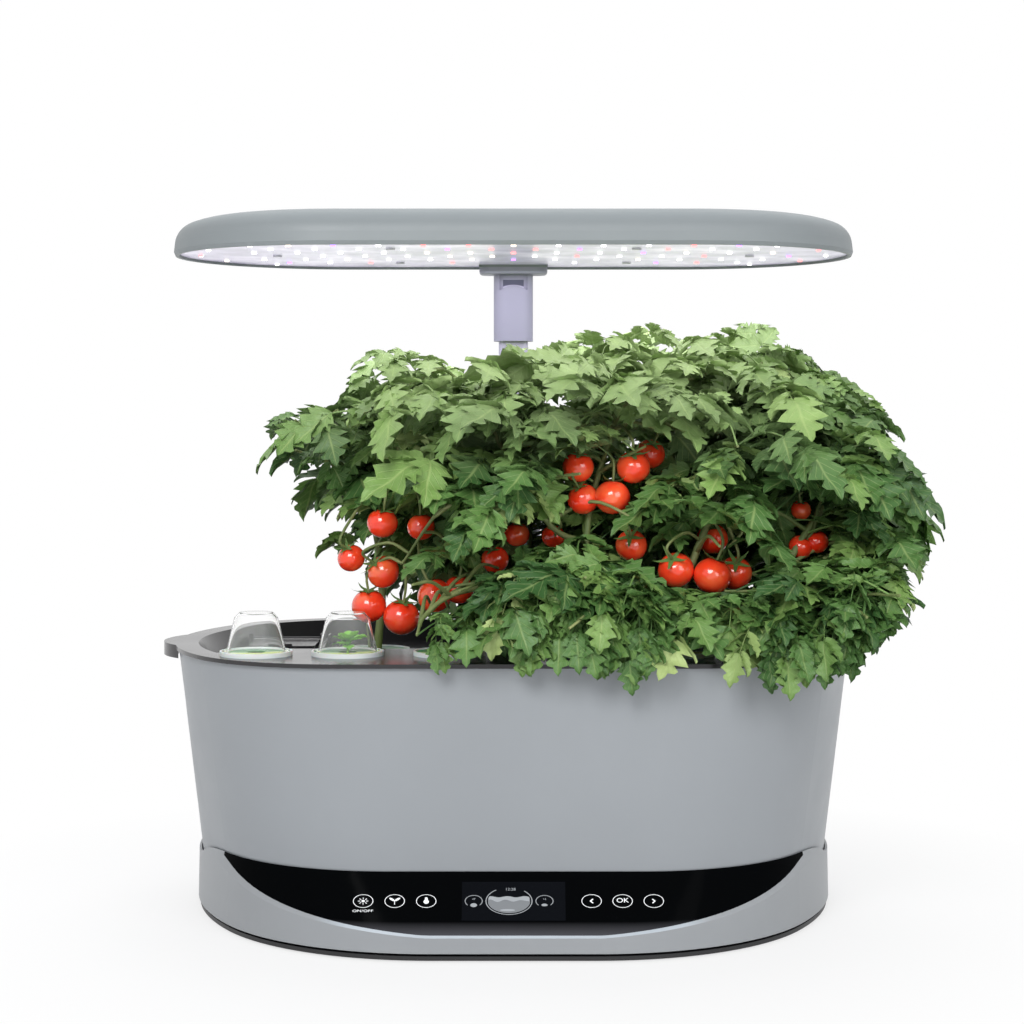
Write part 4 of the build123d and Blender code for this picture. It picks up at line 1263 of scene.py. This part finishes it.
# ---------------------------------------------------------------- seedling
def seedling():
    """A short stem with thirteen leaflets in two whorls."""
    x, y, z = PODS[1]
    root = Vector((x, y, z - 6)) * MM
    top = Vector((x, y, z + 8)) * MM
    sprout = [stalk("sprout_stem", [root, root.lerp(top, 0.6), top], 0.9 * MM, 0.6 * MM, 1)]
    sprout[0].data.uv_layers.new(name="UVMap")
    luck = Random(5)
    for turn in range(13):
        angle = 2 * pi * turn / 6.5 + luck.uniform(-0.25, 0.25)
        rise = luck.uniform(0.0, 0.6) + (0.9 if turn > 7 else 0.0)
        way = Vector((cos(angle), sin(angle), rise))
        spot = top + Vector((0, 0, luck.uniform(-0.003, 0.0)))
        master = luck.choice(leaflets)
        sprout.append(copy_of(master, facing(spot, way, luck.uniform(9.0, 12.0) * MM)))
    return tinted(smooth(joined("seedling", sprout)), 0.6)


dress(seedling(), sprout_green, "pod_2", ["pod_2_seedling"])
for master in [*leaves, hanging_leaf, *leaflets]:
    bpy.data.objects.remove(master)


# ---------------------------------------------------------------- studio
def studio_tree(owner):
    """An emptied node tree, and 1 for the rays by which camera, gloss and glass see the studio."""
    owner.use_nodes = True
    owner.node_tree.nodes.clear()
    n = Growth(owner.node_tree)
    path = n.add("ShaderNodeLightPath").outputs
    seen = n.maths("MAXIMUM", path["Is Camera Ray"], path["Is Glossy Ray"])
    return n, n.maths("MAXIMUM", seen, path["Is Transmission Ray"])


def floor_finish():
    """White where it is seen, but less so near the object, so that its shadow shows."""
    material = bpy.data.materials.new("studio_floor")
    n, seen = studio_tree(material)
    length = n.add("ShaderNodeVectorMath", operation="LENGTH")
    n.link(n.where(), length.inputs[0])
    reach = n.span(length.outputs["Value"], 0.20, 0.42, 0.70, 1.0)
    lit = n.add("ShaderNodeBsdfDiffuse", Color=(0.86, 0.86, 0.86, 1)).outputs[0]
    white = n.add("ShaderNodeEmission", Color=(1, 1, 1, 1), Strength=1.0).outputs[0]
    n.blend(n.maths("MULTIPLY", seen, reach), lit, white, n.add("ShaderNodeOutputMaterial"))
    return material


floor = grid("floor", 8, 8, size=30)
floor.data.materials.append(floor_finish())

world = bpy.data.worlds.new("studio_world")
bpy.context.scene.world = world
n, seen = studio_tree(world)
lit = n.add("ShaderNodeBackground", Color=(0.95, 0.97, 1.0, 1), Strength=0.52).outputs[0]
white = n.add("ShaderNodeBackground", Color=(1, 1, 1, 1), Strength=1.0).outputs[0]
n.blend(seen, lit, white, n.add("ShaderNodeOutputWorld"))


def softbox(name, place, aim, size, power, colour=(1, 1, 1), mirrored=True):
    """An area light; one that isn't mirrored leaves no image of itself in gloss."""
    clear()
    bpy.ops.object.light_add(type="AREA", location=place)
    lamp = bpy.context.object
    lamp.name = name
    lamp.data.shape = "RECTANGLE"
    lamp.data.size, lamp.data.size_y = size
    lamp.data.energy = power
    lamp.data.color = colour
    lamp.rotation_euler = (Vector(aim) - Vector(place)).to_track_quat("-Z", "Y").to_euler()
    lamp.visible_glossy = mirrored
    return lamp


softbox("key_softbox", (-0.5, -1.8, 1.4), (0, 0, 0.2), (1.0, 0.8), 28)
softbox("fill_softbox", (1.0, -1.6, 0.9), (0, 0, 0.2), (1.0, 1.0), 11)
softbox("rear_softbox", (0.2, 1.1, 1.8), (0, 0, 0.3), (1.6, 0.8), 13, mirrored=False)
# the lamp's own light on the mast and the leaves
under_lamp, straight_down, violet = (0.0, 0.026, 0.4005), (0.0, 0.026, 0.0), (0.90, 0.86, 1.0)
lamp_glow = softbox("lamp_glow", under_lamp, straight_down, (0.36, 0.16), 0.55, violet, False)
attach(lamp_glow, "lamp")

clear()
bpy.ops.object.camera_add(location=[at * MM for at in EYE], rotation=(radians(90), 0, 0))
camera = bpy.context.object
camera.data.lens = 75.5
camera.data.sensor_width = 36
camera.data.shift_y = -0.0898
camera.data.clip_start = 0.05
camera.data.clip_end = 60
bpy.context.scene.camera = camera
bpy.context.scene.view_settings.view_transform = "Standard"

clear()
